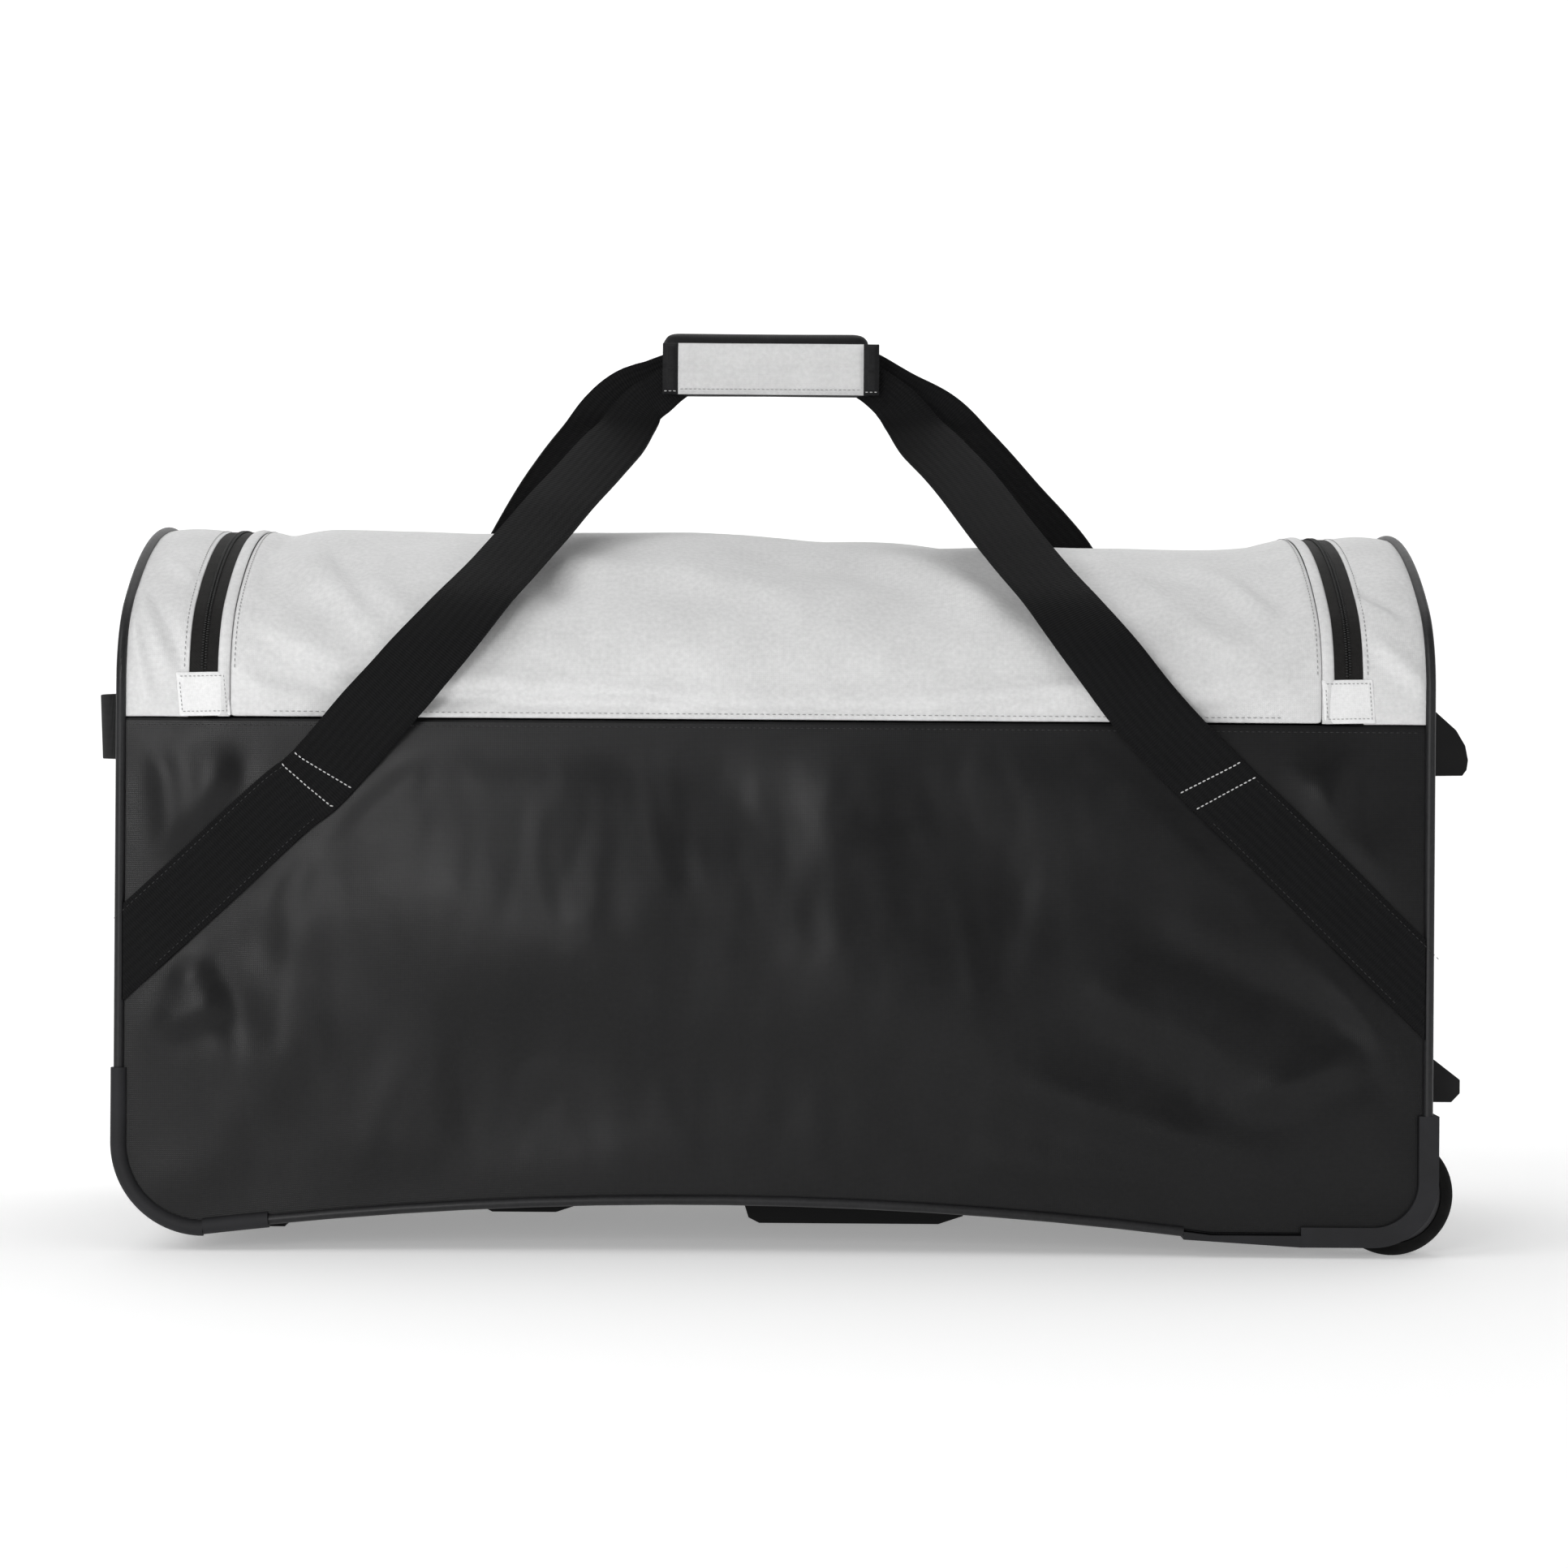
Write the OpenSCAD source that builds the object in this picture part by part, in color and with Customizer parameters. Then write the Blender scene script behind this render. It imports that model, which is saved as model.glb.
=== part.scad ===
// Wheeled hockey equipment bag.
// A soft fabric body with a zipped, hinged lid, two long carrying straps joined in a
// padded handle wrap, a webbing handle at one end, and a moulded grip, stand feet and
// two housed wheels at the other end.
// X runs along the bag with the wheels at +X, the lid hinge is at -Y, Z is up from the floor.

/* [Body] */
// Length between the outer faces of the two end panels
body_l = 915; // [760:5:1100]
// Depth between the outer faces of the two long side panels
body_w = 430; // [350:5:520]
// Height of the lid seam above the floor
seam_z = 373; // [310:1:450]
// Height of the base fabric's underside above the floor
base_z = 16; // [12:1:20]
// Height to which the middle of the base is drawn up
arch_top = 38; // [30:1:44]
// Thickness of the coated fabric with its lining and seam allowance
wall = 3; // [2:0.5:4]
// Radius of the lower corner at the webbing handle's end
corner_r = 60; // [45:1:75]
// Thickness of the stiff board laid on the base
board_t = 4; // [3:0.5:6]

/* [Lid] */
// Rise of the lid's crown above the seam
lid_rise = 143; // [118:1:175]
// Height above the seam at which the lid's shoulders start
side_rise = 25; // [0:1:32]
// Radius of the lid's two long shoulders
shoulder_r = 70; // [55:1:84]
// Distance of each zip's centre line from the outer face of the end panel
zip_inset = 57.5; // [48:0.5:72]
// Width of one half of the zip tape
tape_w = 10; // [8:0.5:12]
// Width of the welt sewn beside each end zip
welt_w = 8; // [6:0.5:10]
// Height of the coil above the tape
coil_h = 1.2; // [0.8:0.1:1.6]
// Height of the tab that closes the bottom of each end zip
tab_h = 31; // [24:1:38]
// Width of the tab that closes the bottom of each end zip
tab_w = 36; // [30:1:42]

/* [Straps] */
// Width of the carrying strap webbing
strap_w = 50; // [40:1:60]
// Thickness of the carrying strap webbing
strap_t = 2.5; // [2:0.1:3]
// Height at which each strap leaves its sewn tails
fold_z = 332; // [280:1:345]
// Clearance between the lid's shoulder and the strap that stands over it
strap_gap = 12; // [10:0.5:14.5]
// Half of the spread of the strap's legs at the fold
strap_spread = 314; // [270:1:330]
// Position along the bag of the middle of the handle
handle_x = -6; // [-20:1:20]
// Height of the handle's underside above the lid's crown
handle_rise = 103; // [85:1:124]
// Length of the padded wrap
wrap_l = 164; // [140:1:190]
// Height of the hinge-side half of the wrap
wrap_h = 43; // [38:1:50]
// Thickness of each half of the wrap
wrap_t = 24; // [20:1:27]

/* [Wheels] */
// Radius of the tyre
wheel_r = 43; // [38:0.5:48]
// Width of the tyre
wheel_w = 24; // [20:1:28]
// Thickness of the tyre on its rim
tyre_t = 9; // [7:0.5:11]
// Distance of each wheel's middle from the outer face of its side panel
wheel_inset = 30; // [28:1:36]
// Distance of the axle from the outer face of the end panel
axle_inset = 21.5; // [18:0.5:26]
// Diameter of the axle bolt
axle_d = 7.9; // [5.9:0.1:9.9]

/* [End fittings] */
// Reach of the moulded grip and of the webbing handle beyond the end panels
end_reach = 52.5; // [44:0.5:64]
// Width of the moulded grip
grip_w = 150; // [120:1:180]
// Height of the moulded grip
grip_h = 71.5; // [60:0.5:86]
// Span of the webbing handle at the other end
grab_span = 190; // [155:1:230]
// Width of each stand foot
foot_w = 40; // [32:1:48]

/* [Zip sliders] */
// Distance of each closed slider from the middle of the bag
slider_x = 45; // [40:1:70]
// Length of the puller
puller_l = 32; // [25:1:36]

/* [Output] */
// Sub-part to build

/* [Hidden] */
$fn = 96;
eps = 0.01;
hl = body_l / 2;
hw = body_w / 2;
// Gap kept between bodies that move against each other
move_gap = 0.3;
// Sewn piping bead along the edges
piping_r = 3.5;
// Crown arc of the lid, tangent to both shoulders
side_c = hw - shoulder_r;
crown_h = lid_rise - side_rise;
crown_r = (side_c * side_c + crown_h * crown_h - shoulder_r * shoulder_r)
    / (2 * (crown_h - shoulder_r));
crown_z = lid_rise - crown_r;
crown_a = atan2(side_rise - crown_z, side_c);
shoulder_z = seam_z + side_rise;
zip_x = hl - zip_inset;
// Shallow arch of the base, whose top lies towards the handle end
arch_x = -50;
arch_r = 2900;
zip_z = seam_z + tape_w;
lid_x = zip_x - tape_w;
gusset_x = zip_x + tape_w;

// Wheel housing
guard_t = 7.5;
guard_drop = 8;
guard_band = 14;
guard_face = 3.5;
guard_r = 46;
tongue_l = 82;
guard_depth = 54.5;
wheel_corner_r = 46;
axle_x = hl - axle_inset;
axle_z = wheel_r;
axle_y = hw - wheel_inset;
axle_r = axle_d / 2;
well_play = 3.5;
well_side = 3;
well_r = wheel_r + well_play;
well_w = wheel_w + 2 * well_side;
shell_r = well_r + wall;
shell_w = well_w + 2 * wall;
guard_top = axle_z + shell_r + 7.5;
guard_run = axle_inset + shell_r + 17.5;
bore_r = axle_r + 0.1;
boss_r = 7;
bolt_head = [6.5, 5];
bolt_nut = [7.5, 6.5];
bearing_r = 11;
bearing_w = 7;
bearing_bore_r = axle_r + 0.05;
seat_shoulder_r = 9.5;
hub_boss_r = 14;
hub_rim_t = 3.3;
hub_w = wheel_w - 4;
rim_r = wheel_r - tyre_t;
spokes = 4;
spoke_t = 7;
spoke_turn = 4;

// Sewn details of the lid
coil_w = 2.4;
welt_proud = 1.2;
tab_t = 1.6;
tab_lift = 0.4;

// Base runners, from the handle end to the wheel end
runner_y = 60;
runner_w = 24;
runner_t = 4;
head_lift = 0.4;
runner_end = 27.5;
rest_l = 70;
rear_pad = [-223, -130, 12];
mid_pad = [-26, 152, 5];
runner_stop = 97.5;
board_end = 62.5;
board_side = 10;

// End board, grip and feet
end_board_t = 4;
end_board_w = 320;
end_board_z = [guard_top + 4, 420];
grip_z = 338.5;
foot_y = 150;
foot_z = 106;
foot_h = 32;
foot_reach = 30.5;
scoop_wall = 9;
grab_z = 346;
grab_h = 48;
grab_t = 2.5;
patch_w = 32;

// Screws: shank radius, head radius, head height
screw = [2, 4, 2];
screw_hole_r = 2.1;

// Strap path
near_y = 13.5;
far_y = 12.5;
far_lift = 7;
tail_spread = 455;
tail_drop = 138;
bar_inset = 4;
leg_in = 10;
leg_rise = 20;
handle_z = seam_z + lid_rise + handle_rise;
far_wrap_h = wrap_h + 4;
face_t = 1.5;
face_margin = 11.5;
strip_t = 0.35;
strip_gap = 0.7;
strip_margin = 20;
arc_steps = 12;

// Sliders
slider_l = 14;
slider_h = 11;
slider_t = 2.8;
slider_y = hw + coil_h + 0.4;
pin_y = slider_y + slider_t + 1.8;
pin_r = 0.8;
knuckle_r = 1.7;
knuckle_w = 5.8;
lug_w = 1.2;
lug_x = knuckle_w / 2 + 0.4;
puller_t = 1.6;
puller_w = 9;
puller_neck = 3;

// Drawing planes ---------------------------------------------------------------

// Stands a drawing of (Y, Z) up and runs it along X
module along_x(x0, x1) {
    translate([x0, 0, 0])
        rotate([90, 0, 90])
            linear_extrude(x1 - x0)
                children();
}

// Stands a drawing of (X, Z) up and runs it along Y
module along_y(y0, y1) {
    translate([0, y1, 0])
        rotate([90, 0, 0])
            linear_extrude(y1 - y0)
                children();
}

// Repeats the children on the zip side of the bag
module on_side(side) {
    mirror([0, side > 0 ? 1 : 0, 0])
        children();
}

// Repeats the children at both ends of the bag, mirrored
module both_ends() {
    children();
    mirror([1, 0, 0])
        children();
}

// Repeats the children on both long sides of the bag, mirrored
module both_sides() {
    children();
    mirror([0, 1, 0])
        children();
}

// Closed outline of a flat ribbon of width w along a path
function ribbon_side(p, w) = [
    for (i = [0 : len(p) - 1])
        let (
            a = p[max(i - 1, 0)],
            b = p[min(i + 1, len(p) - 1)],
            d = b - a,
            n = [-d[1], d[0]] / norm(d)
        )
        p[i] + n * w / 2
];
function ribbon_outline(p, w) = concat(
    ribbon_side(p, w),
    [for (i = [len(p) - 1 : -1 : 0]) ribbon_side(p, -w)[i]]
);

// Sections of the body ---------------------------------------------------------

// Long side seen square on, drawn in by g
module side_outline(g = 0) {
    difference() {
        translate([-hl + g, base_z + g])
            square([body_l - 2 * g, seam_z - base_z - g]);
        corner_waste(-1, corner_r, g);
        corner_waste(1, wheel_corner_r, g);
        translate([arch_x, arch_top - arch_r])
            circle(arch_r + g, $fn = 720);
    }
}

// Height of the base fabric's underside along the bag
function base_at(x) = max(
    base_z,
    arch_top - arch_r + sqrt(arch_r * arch_r - (x - arch_x) * (x - arch_x))
);

// What the rounding of a lower corner takes away
module corner_waste(end, r, g) {
    translate([end * (hl - r), base_z + r])
        difference() {
            translate([end > 0 ? 0 : -r, -r])
                square(r);
            circle(r - g);
        }
}

// Rounded crown of the bag above the seam, drawn in by d
module crown(d = 0) {
    intersection() {
        translate([-body_w, seam_z])
            square([2 * body_w, 2 * lid_rise]);
        union() {
            intersection() {
                translate([0, seam_z + crown_z])
                    circle(crown_r - d, $fn = 240);
                translate([0, seam_z + crown_z])
                    polygon([
                        [0, 0],
                        2 * crown_r * [cos(crown_a), sin(crown_a)],
                        2 * crown_r * [-cos(crown_a), sin(crown_a)]
                    ]);
            }
            for (s = [-1, 1])
                translate([s * side_c, shoulder_z])
                    circle(shoulder_r - d);
            translate([d - hw, seam_z - 1])
                square([body_w - 2 * d, side_rise + 1]);
        }
    }
}

// Skin of the crown between two depths
module crown_skin(outer, inner) {
    difference() {
        crown(outer);
        crown(inner);
    }
}

// Part of a drawing on the zip side between two heights
module zip_side_window(z0, z1) {
    intersection() {
        children();
        translate([0, z0])
            square([2 * body_w, z1 - z0]);
    }
}

// Part of a drawing that belongs to the lid, above the hinge and above the zip
module lid_window(hinge_z, z) {
    intersection() {
        children();
        union() {
            translate([-2 * body_w, hinge_z])
                square([2 * body_w, 2 * lid_rise]);
            translate([-eps, z])
                square([2 * body_w, 2 * lid_rise]);
        }
    }
}

// Fabric panels ----------------------------------------------------------------

// Long side panel, whose outline holds the two lower corners
module side_panel(side) {
    on_side(side)
        along_y(-hw, -hw + wall)
            side_outline();
}

// Band that runs round the bag between the two long sides
module band() {
    along_y(-hw + wall, hw - wall)
        difference() {
            side_outline();
            side_outline(wall);
        }
}

// End panel with its lower corner and its rounded top
module end_panel(end) {
    r = end > 0 ? wheel_corner_r : corner_r;
    intersection() {
        band();
        translate([end > 0 ? hl - r : -hl, -hw, 0])
            cube([r, body_w, seam_z]);
    }
    along_x(end > 0 ? hl - wall : -hl, end > 0 ? hl : wall - hl)
        crown();
}

module hinge_side_panel() {
    color("#2b2b2d")
        side_panel(-1);
}

module zip_side_panel() {
    color("#2b2b2d")
        side_panel(1);
}

module handle_end_panel() {
    color("#232325")
        end_panel(-1);
}

module wheel_end_panel() {
    color("#232325")
        difference() {
            end_panel(1);
            both_sides()
                well_block();
            end_grip_shanks(screw_hole_r);
            foot_shanks(screw_hole_r);
            both_sides()
                housing_shanks(screw_hole_r);
        }
}

module base_panel() {
    color("#232325")
        difference() {
            intersection() {
                band();
                translate([corner_r - hl, -hw, 0])
                    cube([body_l - corner_r - wheel_corner_r, body_w, seam_z / 2]);
            }
            both_sides()
                well_block();
            both_sides()
                housing_shanks(screw_hole_r);
            both_sides()
                runner_shanks(screw_hole_r);
        }
}

module base_board() {
    color("#3a3a3c")
        difference() {
            intersection() {
                along_y(board_side - hw, hw - board_side)
                    difference() {
                        side_outline(wall);
                        side_outline(wall + board_t);
                    }
                translate([board_end - hl, -hw, 0])
                    cube([body_l - board_end - runner_stop, body_w, seam_z / 2]);
            }
            both_sides()
                runner_shanks(screw_hole_r);
        }
}

module wheel_end_board() {
    color("#3a3a3c")
        difference() {
            translate([hl - wall - end_board_t, -end_board_w / 2, end_board_z[0]])
                cube([end_board_t, end_board_w, end_board_z[1] - end_board_z[0]]);
            end_grip_shanks(screw_hole_r);
            foot_shanks(screw_hole_r);
        }
}

// Strip of the crown between the zip and the end panel
module gusset(end) {
    mirror([end < 0 ? 1 : 0, 0, 0])
        along_x(gusset_x, hl - wall)
            crown_skin(0, wall);
}

module handle_end_gusset() {
    color("#d4d4d4")
        gusset(-1);
}

module wheel_end_gusset() {
    color("#d4d4d4")
        gusset(1);
}

// Piping and corner guards -----------------------------------------------------

// Section of a round bead, hollow to the inner radius, without the quarter that the
// body's edge fills on the sides that sx and sy point to
module bead_section(r, inner, sx, sy) {
    difference() {
        circle(r, $fn = 48);
        circle(max(inner, eps), $fn = 48);
        translate([min(sx, 0) * 2 * r, min(sy, 0) * 2 * r])
            square(2 * r);
    }
}

// Bead along the hinge side's lower edge, from the handle end's corner to run_x
module corner_bead(r, inner, top_z, run_x) {
    start_a = asin((corner_r - hl - arch_x) / arch_r);
    stop_a = asin((run_x - arch_x) / arch_r);
    translate([-hl, -hw, base_z + corner_r])
        linear_extrude(top_z - base_z - corner_r)
            bead_section(r, inner, 1, 1);
    translate([corner_r - hl, -hw, base_z + corner_r])
        rotate([90, 0, 0])
            rotate([0, 0, 180])
                rotate_extrude(angle = 90)
                    translate([corner_r, 0])
                        bead_section(r, inner, -1, -1);
    translate([arch_x, -hw, arch_top - arch_r])
        rotate([90, 0, 0])
            rotate([0, 0, 90 - stop_a])
                rotate_extrude(angle = stop_a - start_a)
                    translate([arch_r, 0])
                        bead_section(r, inner, 1, -1);
}

module side_piping(side) {
    on_side(side) {
        corner_bead(piping_r, 0, seam_z, hl - guard_run - tongue_l);
        translate([hl, -hw, guard_top])
            linear_extrude(seam_z - guard_top)
                bead_section(piping_r, 0, -1, 1);
    }
}

module hinge_side_piping() {
    color("#202020")
        side_piping(-1);
}

module zip_side_piping() {
    color("#202020")
        side_piping(1);
}

// One arc of bead in the plane of an end panel
module arc_bead(y, z, radius, a0, a1) {
    rotate([90, 0, 90])
        translate([y, z, 0])
            rotate([0, 0, a0])
                rotate_extrude(angle = a1 - a0)
                    translate([radius, 0])
                        bead_section(piping_r, 0, -1, -1);
}

module arch_piping(end) {
    mirror([end < 0 ? 1 : 0, 0, 0])
        translate([hl, 0, 0]) {
            both_sides() {
                arc_bead(side_c, shoulder_z, shoulder_r, 0, crown_a);
                translate([0, -hw, seam_z])
                    linear_extrude(side_rise)
                        bead_section(piping_r, 0, -1, 1);
            }
            arc_bead(0, seam_z + crown_z, crown_r, crown_a, 180 - crown_a);
        }
}

module handle_end_arch_piping() {
    color("#202020")
        arch_piping(-1);
}

module wheel_end_arch_piping() {
    color("#202020")
        arch_piping(1);
}

// Moulded tube slotted over the piping at a lower corner
module corner_guard(side) {
    on_side(side)
        corner_bead(piping_r + 2, piping_r + 0.15, 128, 105.5 - hl);
}

module hinge_side_corner_guard() {
    color("#2c2c2e")
        corner_guard(-1);
}

module zip_side_corner_guard() {
    color("#2c2c2e")
        corner_guard(1);
}

// Zip, welts and lid -----------------------------------------------------------

module body_zip_tape() {
    color("#1f1e1d") {
        both_ends()
            along_x(zip_x + move_gap / 2, gusset_x)
                crown_skin(0, wall);
        along_x(-zip_x - move_gap / 2, zip_x + move_gap / 2)
            zip_side_window(seam_z, zip_z - move_gap / 2)
                crown_skin(0, wall);
    }
}

// Ridge of the coil on the body's half of the zip
module body_zip_coil() {
    color("#171717") {
        both_ends()
            along_x(zip_x + move_gap / 2, zip_x + coil_w)
                lid_window(seam_z + tab_h + 1, zip_z - coil_w)
                    crown_skin(-coil_h, 0);
        along_x(-zip_x - move_gap / 2, zip_x + move_gap / 2)
            zip_side_window(zip_z - coil_w, zip_z - move_gap / 2)
                crown_skin(-coil_h, 0);
    }
}

module lid_panel() {
    color("#d8d8d8")
        along_x(welt_w - lid_x, lid_x - welt_w)
            lid_window(seam_z + move_gap, zip_z + tape_w)
                crown_skin(0, wall);
}

module lid_welts() {
    color("#dddddd")
        both_ends()
            along_x(lid_x - welt_w, lid_x) {
                lid_window(seam_z + move_gap, zip_z + tape_w)
                    crown_skin(0, wall);
                lid_window(seam_z + tab_h + 1, zip_z + tape_w)
                    crown_skin(-welt_proud, eps);
            }
}

module lid_zip_tape() {
    color("#1f1e1d") {
        both_ends()
            along_x(lid_x, zip_x - move_gap / 2)
                lid_window(seam_z + move_gap, zip_z + move_gap / 2)
                    crown_skin(0, wall);
        along_x(-lid_x, lid_x)
            zip_side_window(zip_z + move_gap / 2, zip_z + tape_w)
                crown_skin(0, wall);
    }
}

// Ridge of the coil on the lid's half of the zip
module lid_zip_coil() {
    color("#171717") {
        both_ends()
            along_x(zip_x - coil_w, zip_x - move_gap / 2)
                lid_window(seam_z + tab_h + 1, zip_z + move_gap / 2)
                    crown_skin(-coil_h, 0);
        along_x(coil_w - zip_x, zip_x - coil_w)
            zip_side_window(zip_z + move_gap / 2, zip_z + coil_w)
                crown_skin(-coil_h, 0);
    }
}

// Fabric tab sewn on the lid over the bottom of each end zip
module zip_end_tabs() {
    color("#efefef")
        both_ends() {
            along_x(zip_x - tab_w / 2, zip_x - move_gap / 2)
                tab_section(0);
            along_x(zip_x - move_gap / 2, zip_x + tab_w / 2)
                tab_section(-tab_lift);
        }
}

module tab_section(inner) {
    intersection() {
        crown_skin(-tab_lift - tab_t, inner);
        translate([-2 * body_w, seam_z + move_gap])
            square([2 * body_w, tab_h]);
    }
}

// Straps and handle ------------------------------------------------------------

// Side view of the strap: distance from the middle plane and height
function strap_path(handle_y, top_z) =
    let (
        r = shoulder_r + strap_gap + strap_t / 2,
        g = [handle_y, handle_z - 16],
        v = g - [side_c, shoulder_z],
        stop = atan2(v[1], v[0]) - acos(r / norm(v))
    )
    concat(
        [[hw + strap_t / 2, fold_z], [side_c + r, seam_z], [side_c + r, shoulder_z]],
        [
            for (i = [1 : arc_steps])
                [side_c, shoulder_z] + r * [cos(stop * i / arc_steps), sin(stop * i / arc_steps)]
        ],
        [g, [handle_y, top_z]]
    );

// Front view of a leg: distance from the handle's middle and height
function near_leg() = [
    [wrap_l / 2 - leg_in, handle_z + leg_rise],
    [strap_spread, fold_z],
    [2 * strap_spread - wrap_l / 2 + leg_in, 2 * fold_z - handle_z - leg_rise]
];
function far_leg() = [
    [wrap_l / 2 - leg_in, handle_z + far_lift + leg_rise],
    [0.63 * strap_spread + 8, handle_z - 0.9 * handle_rise],
    [strap_spread + 8, fold_z],
    [1.37 * strap_spread + 8, 2 * fold_z - handle_z + 0.9 * handle_rise]
];

module leg_pair(leg) {
    side = ribbon_outline(leg, strap_w);
    translate([handle_x, 0]) {
        polygon([for (i = [len(side) - 1 : -1 : 0]) side[i]]);
        polygon([for (p = side) [-p[0], p[1]]]);
    }
}

// Loose part of a strap between its two folds, thickened by grow on each face
module strap_solid(leg, handle_y, bar_z, bar_h, grow = 0) {
    intersection() {
        rotate([90, 0, 90])
            linear_extrude(body_l, center = true)
                polygon(ribbon_outline(strap_path(handle_y, bar_z + bar_h), strap_t + 2 * grow));
        along_y(-hw, 2 * body_w)
            intersection() {
                union() {
                    leg_pair(leg);
                    translate([handle_x - wrap_l / 2 + leg_in, bar_z - grow])
                        square([wrap_l - 2 * leg_in, bar_h + 2 * grow]);
                }
                translate([-body_l, fold_z + move_gap])
                    square([2 * body_l, body_l]);
            }
    }
}

module near_strap_solid(grow = 0) {
    mirror([0, 1, 0])
        strap_solid(near_leg(), near_y, handle_z + bar_inset, wrap_h - 2 * bar_inset, grow);
}

module far_strap_solid(grow = 0) {
    strap_solid(far_leg(), far_y, handle_z + far_lift + bar_inset,
        far_wrap_h - 2 * bar_inset, grow);
}

module near_strap() {
    color("#181818")
        near_strap_solid();
}

module far_strap() {
    color("#181818")
        far_strap_solid();
}

// Sewn tail of a strap, from the fold to the end seam
module strap_tails(side) {
    tail = [
        [strap_spread - 40, fold_z + 40],
        [strap_spread, fold_z],
        [tail_spread, fold_z - tail_drop],
        [tail_spread + 40, fold_z - tail_drop - 40]
    ];
    on_side(side)
        intersection() {
            along_y(-hw - strap_t, -hw)
                leg_pair(tail);
            translate([piping_r + 0.1 - hl, -body_w, 0])
                cube([body_l - 2 * piping_r - 0.2, 2 * body_w, fold_z]);
        }
}

module hinge_side_strap_tails() {
    color("#181818")
        strap_tails(-1);
}

module zip_side_strap_tails() {
    color("#181818")
        strap_tails(1);
}

// Rounded pad of the wrap, seen along the bag
module wrap_pad(x0, x1, y0, y1, z0, h, r) {
    along_x(x0, x1)
        translate([y0 + r, z0 + r])
            offset_box(y1 - y0 - 2 * r, h - 2 * r, r);
}

// Box with rounded corners, without any offset
module offset_box(w, h, r) {
    translate([-r, 0])
        square([w + 2 * r, h]);
    translate([0, -r])
        square([w, h + 2 * r]);
    for (x = [0, w], y = [0, h])
        translate([x, y])
            circle(r);
}

module near_wrap() {
    color("#1b1b1b")
        difference() {
            wrap_pad(handle_x - wrap_l / 2, handle_x + wrap_l / 2, -wrap_t - 1, -1,
                handle_z, wrap_h, 6);
            near_strap_solid(0.1);
        }
}

module near_wrap_face() {
    color("#d0d0d0")
        translate([handle_x - wrap_l / 2 + face_margin, -wrap_t - 1 - face_t, handle_z + 3])
            cube([wrap_l - 2 * face_margin, face_t, wrap_h - 6]);
}

module near_wrap_bindings() {
    color("#1b1b1b")
        translate([handle_x, 0, 0])
            both_ends()
                translate([wrap_l / 2 - face_margin, -wrap_t - 1 - face_t, handle_z + 3])
                    cube([face_margin - 0.5, face_t, wrap_h - 6]);
}

module near_wrap_hook_strip() {
    color("#101010")
        translate([handle_x - wrap_l / 2 + strip_margin, -1, handle_z + bar_inset + 4])
            cube([wrap_l - 2 * strip_margin, strip_t, wrap_h - 16]);
}

module far_wrap() {
    color("#1b1b1b")
        difference() {
            wrap_pad(handle_x - wrap_l / 2 - 2, handle_x + wrap_l / 2 - 6, strip_gap,
                strip_gap + wrap_t, handle_z + far_lift, far_wrap_h, 6);
            far_strap_solid(0.1);
        }
}

module far_wrap_loop_strip() {
    color("#101010")
        translate([handle_x - wrap_l / 2 + strip_margin, strip_gap - strip_t,
            handle_z + far_lift + bar_inset + 4])
            cube([wrap_l - 2 * strip_margin - 4, strip_t, wrap_h - 16]);
}

// End fittings -----------------------------------------------------------------

module end_grab_handle() {
    outer_r = (grab_span * grab_span / 4 + end_reach * end_reach) / (2 * end_reach);
    color("#181818")
        intersection() {
            translate([outer_r - hl - end_reach, 0, grab_z])
                difference() {
                    cylinder(h = grab_h, r = outer_r);
                    translate([0, 0, -1])
                        cylinder(h = grab_h + 2, r = outer_r - grab_t);
                }
            translate([-2 * hl, -hw, grab_z - 1])
                cube([hl, body_w, grab_h + 2]);
        }
}

module grab_handle_patches() {
    color("#181818")
        both_sides()
            translate([-hl - grab_t, grab_span / 2 + 0.5, grab_z])
                cube([grab_t, patch_w, grab_h]);
}

// Wedge-shaped grip with a finger scoop open underneath
module end_grip() {
    top_z = grip_z + grip_h;
    lip = 10;
    color("#242426")
        difference() {
            along_y(-grip_w / 2, grip_w / 2)
                polygon([
                    [hl, top_z],
                    [hl + 0.54 * end_reach, grip_z + 0.66 * grip_h],
                    [hl + 0.83 * end_reach, grip_z + 0.47 * grip_h],
                    [hl + 0.96 * end_reach, grip_z + 0.31 * grip_h],
                    [hl + end_reach, grip_z + 0.16 * grip_h],
                    [hl + 0.98 * end_reach, grip_z + 0.06 * grip_h],
                    [hl + 0.92 * end_reach, grip_z],
                    [hl, grip_z]
                ]);
            along_y(2 * scoop_wall - grip_w / 2, grip_w / 2 - 2 * scoop_wall)
                polygon([
                    [hl + scoop_wall, grip_z - 1],
                    [hl + end_reach - lip, grip_z - 1],
                    [hl + end_reach - lip, grip_z + 0.2 * grip_h],
                    [hl + 0.6 * end_reach, grip_z + 0.42 * grip_h],
                    [hl + scoop_wall, grip_z + 0.5 * grip_h]
                ]);
            end_grip_shanks(screw_hole_r);
        }
}

// Places a screw shank along X through the end panel
module end_shank(x1, r) {
    translate([hl - wall - end_board_t - 3, 0, 0])
        rotate([0, 90, 0])
            cylinder(h = x1 - hl + wall + end_board_t + 3, r = r, $fn = 32);
}

module end_grip_shanks(r) {
    for (y = [-1, 1])
        for (h = [0.15, 0.72])
            translate([0, y * (grip_w / 2 - scoop_wall), grip_z + h * grip_h])
                end_shank(hl + 8, r);
}

module end_grip_screws() {
    color("#8c8c90") {
        end_grip_shanks(screw[0]);
        for (y = [-1, 1])
            for (h = [0.15, 0.72])
                translate([hl - wall - end_board_t - 3 - screw[2],
                    y * (grip_w / 2 - scoop_wall), grip_z + h * grip_h])
                    rotate([0, 90, 0])
                        cylinder(h = screw[2] + 3, r = screw[1], $fn = 32);
    }
}

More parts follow.
